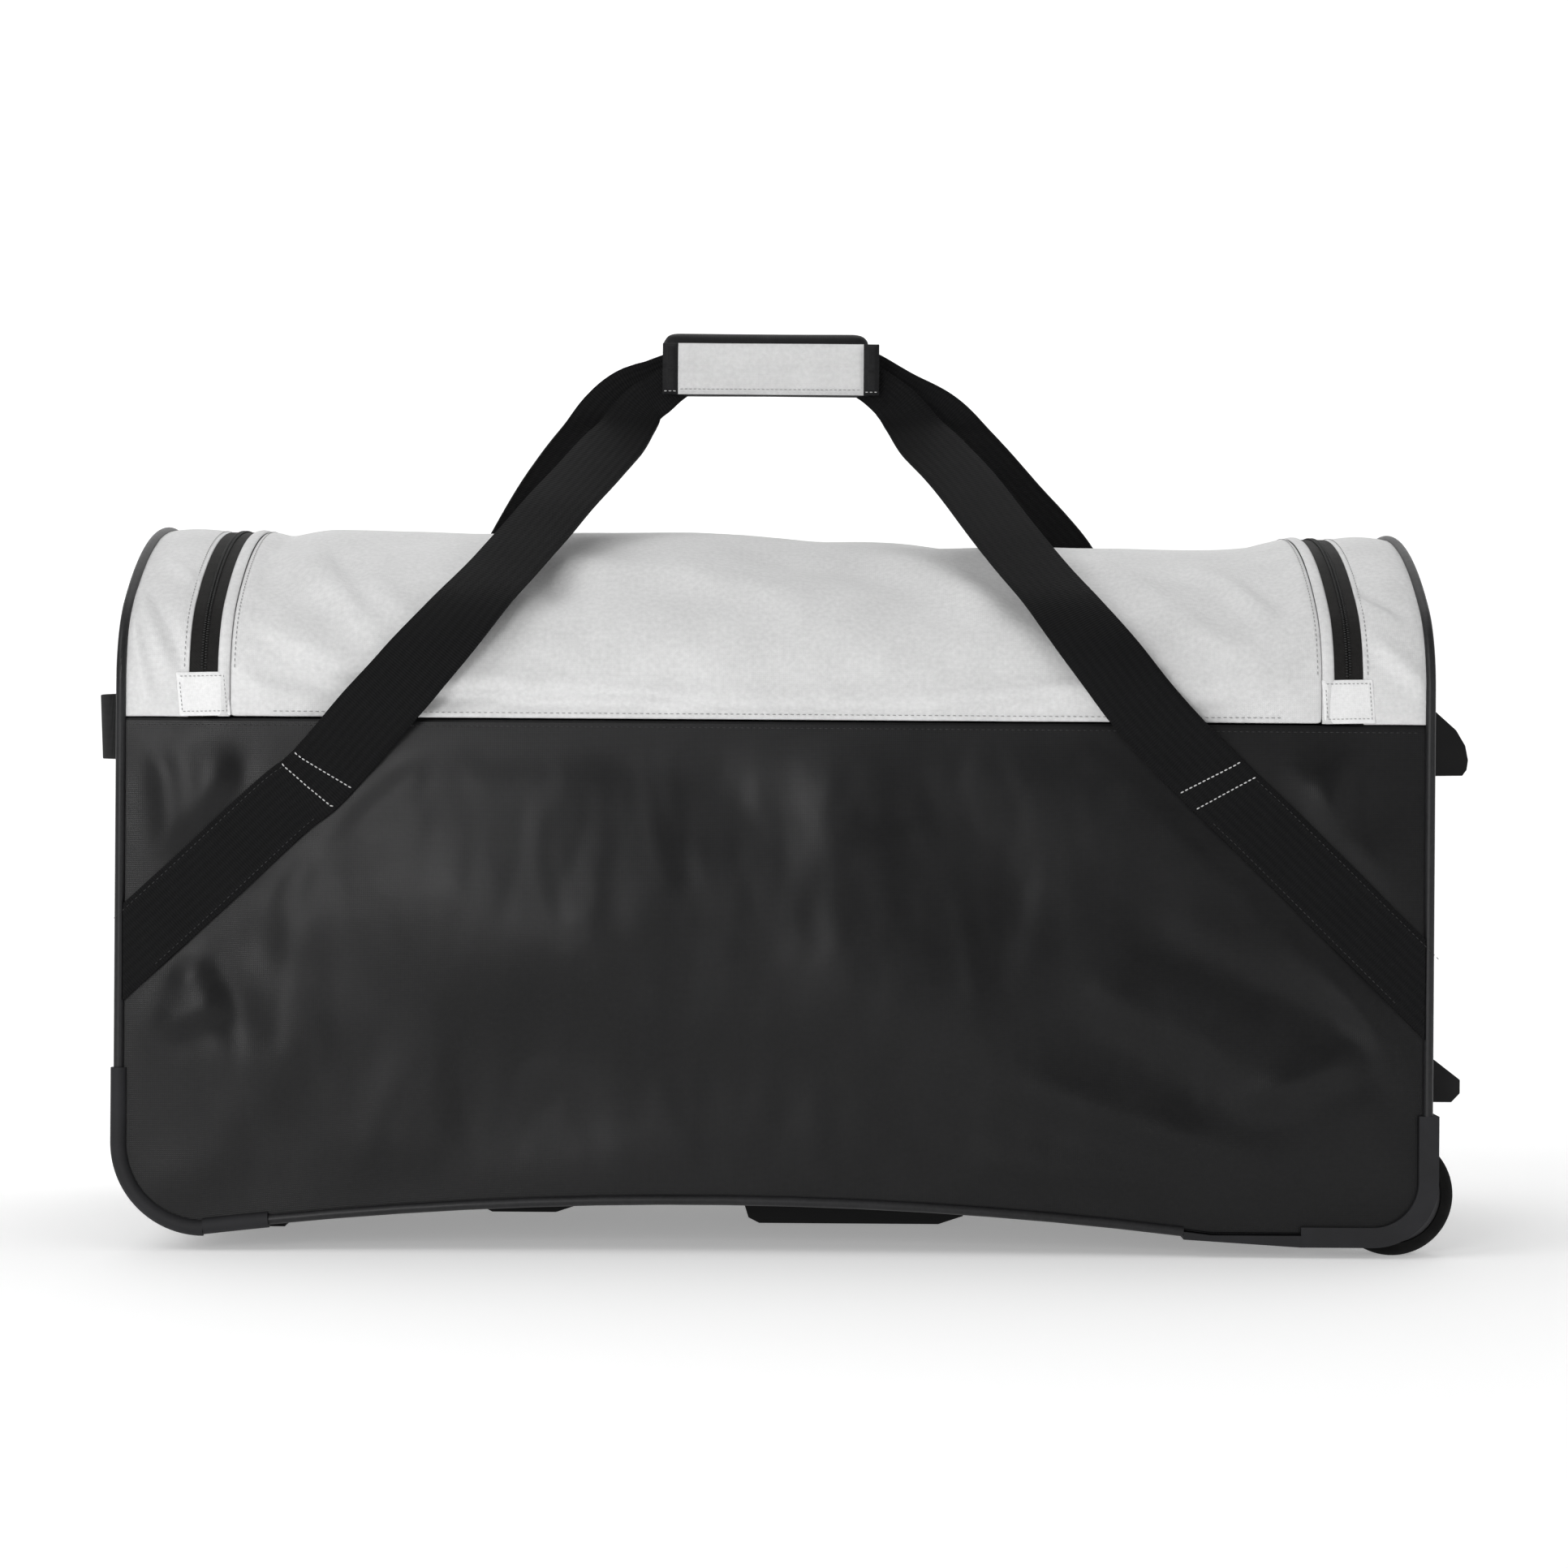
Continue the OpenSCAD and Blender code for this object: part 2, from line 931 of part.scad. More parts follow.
module stand_foot(side) {
    on_side(side)
        difference() {
            along_y(-foot_y - foot_w / 2, foot_w / 2 - foot_y)
                polygon([
                    [hl, foot_z],
                    [hl + 0.8 * foot_reach, foot_z],
                    [hl + foot_reach, foot_z + 0.2 * foot_h],
                    [hl + foot_reach, foot_z + 0.5 * foot_h],
                    [hl + 0.4 * foot_reach, foot_z + 0.94 * foot_h],
                    [hl, foot_z + foot_h]
                ]);
            foot_shanks(screw_hole_r);
        }
}

module hinge_side_stand_foot() {
    color("#242426")
        stand_foot(-1);
}

module zip_side_stand_foot() {
    color("#242426")
        stand_foot(1);
}

module foot_shanks(r) {
    for (y = [-1, 1])
        for (dy = [-1, 1])
            translate([0, y * foot_y + dy * foot_w / 4, foot_z + foot_h / 2])
                end_shank(hl + 12, r);
}

module stand_foot_screws() {
    color("#8c8c90") {
        foot_shanks(screw[0]);
        for (y = [-1, 1])
            for (dy = [-1, 1])
                translate([hl - wall - end_board_t - 3 - screw[2],
                    y * foot_y + dy * foot_w / 4, foot_z + foot_h / 2])
                    rotate([0, 90, 0])
                        cylinder(h = screw[2] + 3, r = screw[1], $fn = 32);
    }
}

// Wheel housings and axles -----------------------------------------------------

// Outline of the guard's corner, drawn in by g
module guard_outline(g = 0) {
    x1 = hl + guard_t - g;
    z0 = base_z - guard_drop + g;
    r = guard_r - g;
    difference() {
        translate([hl - guard_run, z0])
            square([x1 - hl + guard_run, guard_top - z0]);
        translate([x1 - r, z0 + r])
            difference() {
                translate([0, -r])
                    square(r);
                circle(r);
            }
    }
}

// Cylinder about the hinge side's axle
module about_axle(r, w, facets = 96) {
    translate([axle_x, -axle_y, axle_z])
        rotate([90, 0, 0])
            cylinder(h = w, r = r, center = true, $fn = facets);
}

// Room that a wheel well takes out of the fabric
module well_block() {
    about_axle(shell_r + 0.1, shell_w + 0.2);
}

// Corner guard and wheel well of the hinge side
module housing_body() {
    difference() {
        union() {
            along_y(-hw - guard_face, guard_depth - hw - guard_face)
                difference() {
                    guard_outline();
                    side_outline();
                }
            along_y(-hw - guard_face, -hw)
                difference() {
                    guard_outline();
                    guard_outline(guard_band);
                }
            along_y(-hw - guard_face, guard_depth / 3 - hw)
                difference() {
                    polygon([
                        [hl - guard_run, base_z - guard_drop],
                        [hl - guard_run, arch_top],
                        [hl - guard_run - tongue_l, arch_top],
                        [hl - guard_run - tongue_l, base_z - 3]
                    ]);
                    side_outline();
                }
            intersection() {
                about_axle(shell_r, shell_w);
                along_y(-hw, 0)
                    guard_outline();
            }
        }
        about_axle(well_r, well_w);
        housing_shanks(screw_hole_r);
    }
}

module wheel_housing(side) {
    on_side(side)
        difference() {
            union() {
                housing_body();
                for (s = [-1, 1])
                    translate([0, s * (wheel_w / 2 + well_side / 2 + move_gap / 2), 0])
                        about_axle(boss_r, well_side - move_gap, 48);
            }
            about_axle(bore_r, body_w / 2, 48);
        }
}

module hinge_side_wheel_housing() {
    color("#2f2f31")
        wheel_housing(-1);
}

module zip_side_wheel_housing() {
    color("#2f2f31")
        wheel_housing(1);
}

// Shanks of the two screws that hold the hinge side's housing
module housing_shanks(r) {
    translate([hl - 10, -axle_y, guard_top - 6])
        rotate([0, 90, 0])
            cylinder(h = guard_t + 10, r = r, $fn = 32);
    translate([hl - guard_run + 6, -axle_y, base_z - guard_drop])
        cylinder(h = guard_drop + 8, r = r, $fn = 32);
}

module housing_screws() {
    color("#8c8c90")
        both_sides() {
            housing_shanks(screw[0]);
            translate([hl + guard_t, -axle_y, guard_top - 6])
                rotate([0, 90, 0])
                    cylinder(h = screw[2] / 2, r = screw[1], $fn = 32);
            translate([hl - guard_run + 6, -axle_y, base_z - guard_drop - screw[2] / 2])
                cylinder(h = screw[2] / 2, r = screw[1], $fn = 32);
        }
}

module axle_bolts() {
    shank_l = shell_w + bolt_nut[1] + 1;
    color("#9a9a9e")
        both_sides() {
            translate([0, (shank_l - shell_w) / 2, 0])
                about_axle(axle_r, shank_l, 48);
            translate([0, -(shell_w + bolt_head[1]) / 2, 0])
                about_axle(bolt_head[0], bolt_head[1], 6);
        }
}

module axle_nuts() {
    color("#9a9a9e")
        both_sides()
            translate([0, (shell_w + bolt_nut[1]) / 2, 0])
                difference() {
                    about_axle(bolt_nut[0], bolt_nut[1], 6);
                    about_axle(axle_r, bolt_nut[1] + 1, 48);
                }
}

// Wheels -----------------------------------------------------------------------

// Turns a profile of (radius, width) about the axle of a side
module turned(side) {
    on_side(side)
        translate([axle_x, -axle_y, axle_z])
            rotate([90, 0, 0])
                rotate_extrude()
                    children();
}

module tyre(side) {
    edge = 4;
    turned(side)
        union() {
            translate([rim_r, -wheel_w / 2])
                square([tyre_t - edge, wheel_w]);
            translate([rim_r, edge - wheel_w / 2])
                square([tyre_t, wheel_w - 2 * edge]);
            for (y = [edge - wheel_w / 2, wheel_w / 2 - edge])
                translate([wheel_r - edge, y])
                    circle(edge);
        }
}

module hub(side) {
    turned(side)
        translate([rim_r - hub_rim_t, -hub_w / 2])
            square([hub_rim_t, hub_w]);
    turned(side)
        difference() {
            translate([seat_shoulder_r, -wheel_w / 2])
                square([hub_boss_r - seat_shoulder_r, wheel_w]);
            for (y = [-wheel_w / 2, wheel_w / 2 - bearing_w])
                translate([0, y])
                    square([bearing_r, bearing_w]);
        }
    on_side(side)
        for (i = [0 : spokes - 1])
            translate([axle_x, -axle_y, axle_z])
                rotate([0, spoke_turn + i * 360 / spokes, 0])
                    translate([hub_boss_r - 0.6, -hub_w / 4, -spoke_t / 2])
                        cube([rim_r - hub_rim_t - hub_boss_r + 1.2, hub_w / 2, spoke_t]);
}

module bearings(side) {
    for (y = [-wheel_w / 2, wheel_w / 2 - bearing_w])
        turned(side)
            translate([bearing_bore_r, y])
                square([bearing_r - bearing_bore_r, bearing_w]);
}

module spacer(side) {
    turned(side)
        translate([bearing_bore_r, bearing_w - wheel_w / 2])
            square([2, wheel_w - 2 * bearing_w]);
}

module near_tyre() {
    color("#1e1e1e")
        tyre(-1);
}

module near_hub() {
    color("#b9b9b9")
        hub(-1);
}

module near_bearings() {
    color("#9a9a9e")
        bearings(-1);
}

module near_spacer() {
    color("#9a9a9e")
        spacer(-1);
}

module far_tyre() {
    color("#1e1e1e")
        tyre(1);
}

module far_hub() {
    color("#b9b9b9")
        hub(1);
}

module far_bearings() {
    color("#9a9a9e")
        bearings(1);
}

module far_spacer() {
    color("#9a9a9e")
        spacer(1);
}

// Base runners -----------------------------------------------------------------

// Feet and pads of a runner, drawn from the floor up into the bag
module runner_pads() {
    x0 = runner_end - hl;
    polygon([
        [x0, 6],
        [x0 + 4, 0],
        [x0 + rest_l, 0],
        [x0 + rest_l + 8, base_z],
        [x0 + rest_l + 8, seam_z / 4],
        [x0, seam_z / 4]
    ]);
    for (pad = [rear_pad, mid_pad])
        polygon([
            [pad[0], arch_top - runner_t],
            [pad[0] + 8, pad[2] + 4],
            [pad[0] + 16, pad[2]],
            [pad[1] - 30, pad[2]],
            [pad[1] - 12, pad[2] + 6],
            [pad[1], arch_top - runner_t],
            [pad[1], seam_z / 4],
            [pad[0], seam_z / 4]
        ]);
}

module runner(side) {
    on_side(side)
        difference() {
            along_y(-runner_y - runner_w / 2, runner_w / 2 - runner_y)
                difference() {
                    union() {
                        intersection() {
                            side_outline(-runner_t);
                            translate([runner_end - hl, 0])
                                square([body_l - runner_end - runner_stop, seam_z / 4]);
                        }
                        runner_pads();
                    }
                    side_outline();
                }
            runner_shanks(screw_hole_r);
        }
}

module hinge_side_runner() {
    color("#252527")
        runner(-1);
}

module zip_side_runner() {
    color("#252527")
        runner(1);
}

function runner_screw_x() = [70 - hl, rear_pad[0] + 46, mid_pad[0] + 87, hl - runner_stop - 20];

module runner_shanks(r) {
    for (x = runner_screw_x())
        translate([x, -runner_y, base_at(x) - runner_t + 0.5])
            cylinder(h = wall + board_t + runner_t + 0.5, r = r, $fn = 32);
}

module runner_screws() {
    color("#8c8c90")
        both_sides() {
            runner_shanks(screw[0]);
            for (x = runner_screw_x())
                translate([x, -runner_y, base_at(x) + wall + board_t + head_lift])
                    cylinder(h = screw[2], r = screw[1], $fn = 32);
        }
}

// Zip sliders ------------------------------------------------------------------

// Slider on the +X side of the closed zip with its two puller lugs
module slider() {
    translate([slider_x - slider_l / 2, slider_y, zip_z - slider_h / 2])
        cube([slider_l, slider_t, slider_h]);
    for (s = [-1, 1])
        translate([slider_x, pin_y, zip_z + s * (lug_x + lug_w / 2) - lug_w / 2]) {
            cylinder(h = lug_w, r = knuckle_r, $fn = 48);
            translate([-knuckle_r, slider_y + slider_t - pin_y - eps, 0])
                cube([2 * knuckle_r, pin_y - slider_y - slider_t + eps, lug_w]);
        }
    translate([slider_x, pin_y, zip_z - lug_x - eps])
        cylinder(h = 2 * lug_x + 2 * eps, r = pin_r, $fn = 48);
}

// Puller that trails from the slider towards the middle of the bag
module puller() {
    difference() {
        union() {
            translate([slider_x, pin_y, zip_z - knuckle_w / 2])
                cylinder(h = knuckle_w, r = knuckle_r, $fn = 48);
            translate([slider_x - puller_neck - 1, pin_y - puller_t / 2, zip_z - knuckle_w / 2])
                cube([puller_neck + 1, puller_t, knuckle_w]);
            translate([slider_x - puller_l, pin_y - puller_t / 2, zip_z - puller_w / 2])
                cube([puller_l - puller_neck, puller_t, puller_w]);
        }
        translate([slider_x, pin_y, zip_z - knuckle_w])
            cylinder(h = 2 * knuckle_w, r = pin_r + 0.05, $fn = 48);
    }
}

module left_slider() {
    color("#3c3c3e")
        mirror([1, 0, 0])
            slider();
}

module right_slider() {
    color("#3c3c3e")
        slider();
}

module left_puller() {
    color("#3c3c3e")
        mirror([1, 0, 0])
            puller();
}

module right_puller() {
    color("#3c3c3e")
        puller();
}

// Output -----------------------------------------------------------------------

hinge_side_panel();
zip_side_panel();
handle_end_panel();
wheel_end_panel();
base_panel();
base_board();
wheel_end_board();
handle_end_gusset();
wheel_end_gusset();
hinge_side_piping();
zip_side_piping();
handle_end_arch_piping();
wheel_end_arch_piping();
hinge_side_corner_guard();
zip_side_corner_guard();
body_zip_tape();
body_zip_coil();
hinge_side_strap_tails();
zip_side_strap_tails();
end_grab_handle();
grab_handle_patches();
end_grip();
end_grip_screws();
hinge_side_stand_foot();
zip_side_stand_foot();
stand_foot_screws();
hinge_side_wheel_housing();
zip_side_wheel_housing();
housing_screws();
axle_bolts();
axle_nuts();
hinge_side_runner();
zip_side_runner();
runner_screws();
lid_panel();
lid_welts();
lid_zip_tape();
lid_zip_coil();
zip_end_tabs();
near_strap();
near_wrap();
near_wrap_face();
near_wrap_bindings();
near_wrap_hook_strip();
far_strap();
far_wrap();
far_wrap_loop_strip();
near_tyre();
near_hub();
near_bearings();
near_spacer();
far_tyre();
far_hub();
far_bearings();
far_spacer();
left_slider();
right_slider();
left_puller();
right_puller();
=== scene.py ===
import math

import bmesh
import bpy
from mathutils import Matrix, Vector, noise


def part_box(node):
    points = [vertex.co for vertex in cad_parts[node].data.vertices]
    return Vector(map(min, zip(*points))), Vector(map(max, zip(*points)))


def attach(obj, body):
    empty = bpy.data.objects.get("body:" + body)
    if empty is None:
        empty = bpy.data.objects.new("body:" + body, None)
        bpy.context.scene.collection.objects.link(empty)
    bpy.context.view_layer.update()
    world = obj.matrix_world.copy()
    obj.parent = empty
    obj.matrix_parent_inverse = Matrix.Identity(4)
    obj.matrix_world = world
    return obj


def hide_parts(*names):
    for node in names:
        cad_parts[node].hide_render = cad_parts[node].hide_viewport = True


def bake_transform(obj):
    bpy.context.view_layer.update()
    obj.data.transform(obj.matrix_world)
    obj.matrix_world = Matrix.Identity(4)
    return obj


bl_info = {
    "name": "Hockey equipment bag",
    "version": (1, 0, 0),
    "blender": (4, 5, 0),
    "location": "3D View > Sidebar > Bag",
    "description": "Sews the fabric, zips, straps and fittings of a wheeled bag round its frame",
    "category": "Object",
}

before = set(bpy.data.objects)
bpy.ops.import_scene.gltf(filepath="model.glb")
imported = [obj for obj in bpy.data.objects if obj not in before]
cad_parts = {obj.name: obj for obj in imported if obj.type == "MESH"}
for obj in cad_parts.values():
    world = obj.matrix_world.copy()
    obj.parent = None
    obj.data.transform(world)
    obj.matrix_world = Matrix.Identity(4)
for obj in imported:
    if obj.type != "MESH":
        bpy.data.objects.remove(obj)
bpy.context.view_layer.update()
MM = 0.001

# Sizes taken from the frame ---------------------------------------------------

SIDE_LOW, SIDE_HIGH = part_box("hinge_side_panel")
HALF_L, HALF_W, SEAM_Z, BASE_Z = SIDE_HIGH.x, -SIDE_LOW.y, SIDE_HIGH.z, SIDE_LOW.z
CROWN_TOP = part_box("wheel_end_gusset")[1].z
LID_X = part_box("lid_welts")[1].x
PANEL_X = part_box("lid_panel")[1].x
GUSSET_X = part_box("body_zip_tape")[1].x
ZIP_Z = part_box("lid_zip_coil")[0].z
HANDLE_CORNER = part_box("handle_end_panel")[1].x + HALF_L
WHEEL_CORNER = HALF_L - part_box("wheel_end_panel")[0].x
ARCH_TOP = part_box("base_panel")[1].z - 3 * MM
# middle and radius of the base's arch, and the upper edge of the zip side's tape
ARCH_X, ARCH_R = -0.050, 2.900
TAPE_TOP = 0.393
NEAR_WRAP_LOW, NEAR_WRAP_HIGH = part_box("near_wrap")
FAR_WRAP_LOW, FAR_WRAP_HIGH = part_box("far_wrap")
STRAP_T = 2.5 * MM
STRAP_FOLD_Z = 0.332
STRAP_Y = HALF_W + STRAP_T / 2

# Crown of the lid: upright rise, shoulder arc, crown arc
SIDE_RISE, SHOULDER_R = 0.025, 0.070
SHOULDER_Y = HALF_W - SHOULDER_R
SHOULDER_Z = SEAM_Z + SIDE_RISE
CROWN_H = CROWN_TOP - SHOULDER_Z
CROWN_R = (SHOULDER_Y**2 + CROWN_H**2 - SHOULDER_R**2) / (2 * (CROWN_H - SHOULDER_R))
CROWN_C = CROWN_TOP - CROWN_R
SHOULDER_A = math.atan2(SHOULDER_Z - CROWN_C, SHOULDER_Y)
CROWN_LEN = 2 * (SIDE_RISE + SHOULDER_R * SHOULDER_A + CROWN_R * (math.pi / 2 - SHOULDER_A))


def crown_at(s):
    """Place (y, z) and outward direction on the crown, s metres over it from the hinge seam."""
    if s > CROWN_LEN / 2:
        y, z, ny, nz = crown_at(CROWN_LEN - s)
        return -y, z, -ny, nz
    if s < SIDE_RISE:
        return -HALF_W, SEAM_Z + s, -1.0, 0.0
    arc = SHOULDER_R * SHOULDER_A
    if s < SIDE_RISE + arc:
        a = (s - SIDE_RISE) / SHOULDER_R
        return (-SHOULDER_Y - SHOULDER_R * math.cos(a), SHOULDER_Z + SHOULDER_R * math.sin(a),
                -math.cos(a), math.sin(a))
    a = (CROWN_LEN / 2 - s) / CROWN_R
    return -CROWN_R * math.sin(a), CROWN_C + CROWN_R * math.cos(a), -math.sin(a), math.cos(a)


def on_crown(x, s, out):
    """Point at x, s metres over the crown and out metres off it."""
    y, z, ny, nz = crown_at(s)
    return Vector((x, y + ny * out, z + nz * out))


def base_at(x):
    """Height of the base fabric's underside."""
    return max(BASE_Z, ARCH_TOP - ARCH_R + math.sqrt(ARCH_R**2 - (x - ARCH_X) ** 2))


# Colour and nodes -------------------------------------------------------------

# How far roughness strays to both sides of its middle
ROUGH_SPREAD = 0.06


def linear(code):
    """Linear colour from an sRGB hex value."""
    parts = [int(code.lstrip("#")[i:i + 2], 16) / 255 for i in (0, 2, 4)]
    return [p / 12.92 if p <= 0.04045 else ((p + 0.055) / 1.055) ** 2.4 for p in parts] + [1.0]


def add(tree, kind, inputs=None, **settings):
    """Adds a node, sets its settings, and sets or links its inputs."""
    node = tree.nodes.new("ShaderNode" + kind)
    for key, value in settings.items():
        setattr(node, key, value)
    for key, value in (inputs or {}).items():
        if isinstance(value, bpy.types.NodeSocket):
            tree.links.new(value, node.inputs[key])
        else:
            node.inputs[key].default_value = value
    return node


def new_material(name):
    """Material with one principled shader: the material, its tree and the shader."""
    material = bpy.data.materials.new(name)
    material.use_nodes = True
    tree = material.node_tree
    tree.nodes.clear()
    shader = add(tree, "BsdfPrincipled")
    add(tree, "OutputMaterial", {"Surface": shader.outputs[0]})
    return material, tree, shader


def bands(period_mm):
    """Wave Texture scale at which one band is period_mm wide."""
    return 2 * math.pi / (20 * period_mm * MM)


def colour_between(tree, shade, low, high, at=(0.35, 0.65)):
    """Colour that runs from low to high as the shade crosses the two values of at."""
    ramp = add(tree, "ValToRGB", {"Fac": shade})
    ramp.color_ramp.elements[0].position = at[0]
    ramp.color_ramp.elements[0].color = linear(low)
    ramp.color_ramp.elements[1].position = at[1]
    ramp.color_ramp.elements[1].color = linear(high)
    return ramp.outputs["Color"]


def set_roughness(tree, shader, shade, low, high, **span):
    """Roughness that runs from low to high with a shade."""
    spread = add(tree, "MapRange", {"Value": shade, "To Min": low, "To Max": high,
                                    **{key.replace("_", " "): v for key, v in span.items()}})
    tree.links.new(spread.outputs[0], shader.inputs["Roughness"])


def set_bump(tree, shader, height, deep_mm, strength):
    """Fine relief of the surface, deep_mm from low to high."""
    bump = add(tree, "Bump", {"Height": height, "Distance": deep_mm * MM, "Strength": strength})
    tree.links.new(bump.outputs[0], shader.inputs["Normal"])


def woven(name, low, high, thread_mm, rough, bump_mm, mottling_mm=60, sheen=0.0, twill=False,
          specular=0.5, coords="UV"):
    """Fabric: warp and weft as two crossed sets of bands, with slow shifts of shade."""
    material, tree, shader = new_material(name)
    place = add(tree, "TexCoord").outputs[coords]
    warp, weft = [
        add(tree, "TexWave", {"Vector": place, "Scale": bands(thread_mm), "Distortion": 0.6,
                              "Detail": 1.0, "Detail Scale": 1.5}, bands_direction=way)
        for way in ("DIAGONAL" if twill else "X", "Y")]
    cross = add(tree, "Math", {0: warp.outputs["Fac"], 1: weft.outputs["Fac"]},
                operation="MULTIPLY")
    cloud = add(tree, "TexNoise", {"Vector": place, "Scale": 1 / (mottling_mm * MM),
                                   "Detail": 4.0, "Roughness": 0.6})
    grain = add(tree, "TexNoise", {"Vector": place, "Scale": 1 / (2.5 * thread_mm * MM),
                                   "Detail": 2.0})
    mixed = add(tree, "Math", {0: cloud.outputs["Fac"], 1: grain.outputs["Fac"]}, operation="ADD")
    half = add(tree, "Math", {0: mixed.outputs[0], 1: 0.5}, operation="MULTIPLY")
    tree.links.new(colour_between(tree, half.outputs[0], low, high), shader.inputs["Base Color"])
    set_roughness(tree, shader, cloud.outputs["Fac"], rough - ROUGH_SPREAD,
                  rough + ROUGH_SPREAD, From_Min=0.3, From_Max=0.7)
    relief = add(tree, "Math", {0: grain.outputs["Fac"], 1: cross.outputs[0]}, operation="ADD")
    set_bump(tree, shader, relief.outputs[0], bump_mm, 0.6)
    shader.inputs["Specular IOR Level"].default_value = specular
    if sheen:
        shader.inputs["Sheen Weight"].default_value = sheen
        shader.inputs["Sheen Roughness"].default_value = 0.5
    return material


def moulded(name, colour, worn, rough, grain_mm, bump_mm, specular=0.5):
    """Moulded plastic or rubber: fine spark-eroded grain, duller and paler where it is rubbed."""
    material, tree, shader = new_material(name)
    place = add(tree, "TexCoord").outputs["Object"]
    grain = add(tree, "TexNoise", {"Vector": place, "Scale": 1 / (grain_mm * MM), "Detail": 3.0})
    cloud = add(tree, "TexNoise", {"Vector": place, "Scale": 28.0, "Detail": 5.0,
                                   "Roughness": 0.65})
    tree.links.new(colour_between(tree, cloud.outputs["Fac"], colour, worn, (0.42, 0.78)),
                   shader.inputs["Base Color"])
    set_roughness(tree, shader, cloud.outputs["Fac"], rough - ROUGH_SPREAD,
                  rough + ROUGH_SPREAD, From_Min=0.3, From_Max=0.7)
    set_bump(tree, shader, grain.outputs["Fac"], bump_mm, 0.5)
    shader.inputs["Specular IOR Level"].default_value = specular
    return material


def plated(name, colour, dark, rough):
    """Plated metal: bright, with a faint brushed grain and darker specks in the plating."""
    material, tree, shader = new_material(name)
    place = add(tree, "TexCoord").outputs["Object"]
    brushed = add(tree, "Mapping", {"Vector": place, "Scale": (900, 900, 60)})
    grain = add(tree, "TexNoise", {"Vector": brushed.outputs[0], "Scale": 1.0, "Detail": 3.0})
    cloud = add(tree, "TexNoise", {"Vector": place, "Scale": 160.0, "Detail": 4.0})
    tree.links.new(colour_between(tree, cloud.outputs["Fac"], dark, colour, (0.3, 0.55)),
                   shader.inputs["Base Color"])
    set_roughness(tree, shader, grain.outputs["Fac"], rough - 0.08, rough + 0.1)
    shader.inputs["Metallic"].default_value = 1.0
    set_bump(tree, shader, grain.outputs["Fac"], 0.02, 0.3)
    return material


def webbing_material(name, low, high, rib_mm, rough):
    """Woven webbing: close ribs across it, and lines of binder yarn along it. Its colour has
    painted shade, darker in the grooves of the ribs and lines and lighter on their crests, plus
    random tone from a noise cloud.
    """
    material, tree, shader = new_material(name)
    place = add(tree, "TexCoord").outputs["UV"]
    ribs = add(tree, "TexWave", {"Vector": place, "Scale": bands(rib_mm), "Distortion": 0.3,
                                 "Detail": 1.0}, bands_direction="X")
    lines = add(tree, "TexWave", {"Vector": place, "Scale": bands(3.2 * rib_mm),
                                  "Distortion": 0.15}, bands_direction="Y")
    cloud = add(tree, "TexNoise", {"Vector": place, "Scale": 45.0, "Detail": 4.0})
    relief = add(tree, "Math", {0: ribs.outputs["Fac"], 1: lines.outputs["Fac"]}, operation="ADD")
    # colour follows the rib relief: painted shade in the grooves, lighter on the crests, plus
    # random tone from the cloud
    shade = add(tree, "Math", {0: relief.outputs[0], 1: cloud.outputs["Fac"]}, operation="ADD")
    painted_groove_shade_and_tone = add(tree, "Math", {0: shade.outputs[0], 1: 0.36}, operation="MULTIPLY")
    tree.links.new(colour_between(tree, painted_groove_shade_and_tone.outputs[0], low, high, (0.25, 0.8)),
                   shader.inputs["Base Color"])
    set_bump(tree, shader, relief.outputs[0], 0.35, 0.7)
    shader.inputs["Roughness"].default_value = rough
    shader.inputs["Specular IOR Level"].default_value = 0.15
    return material


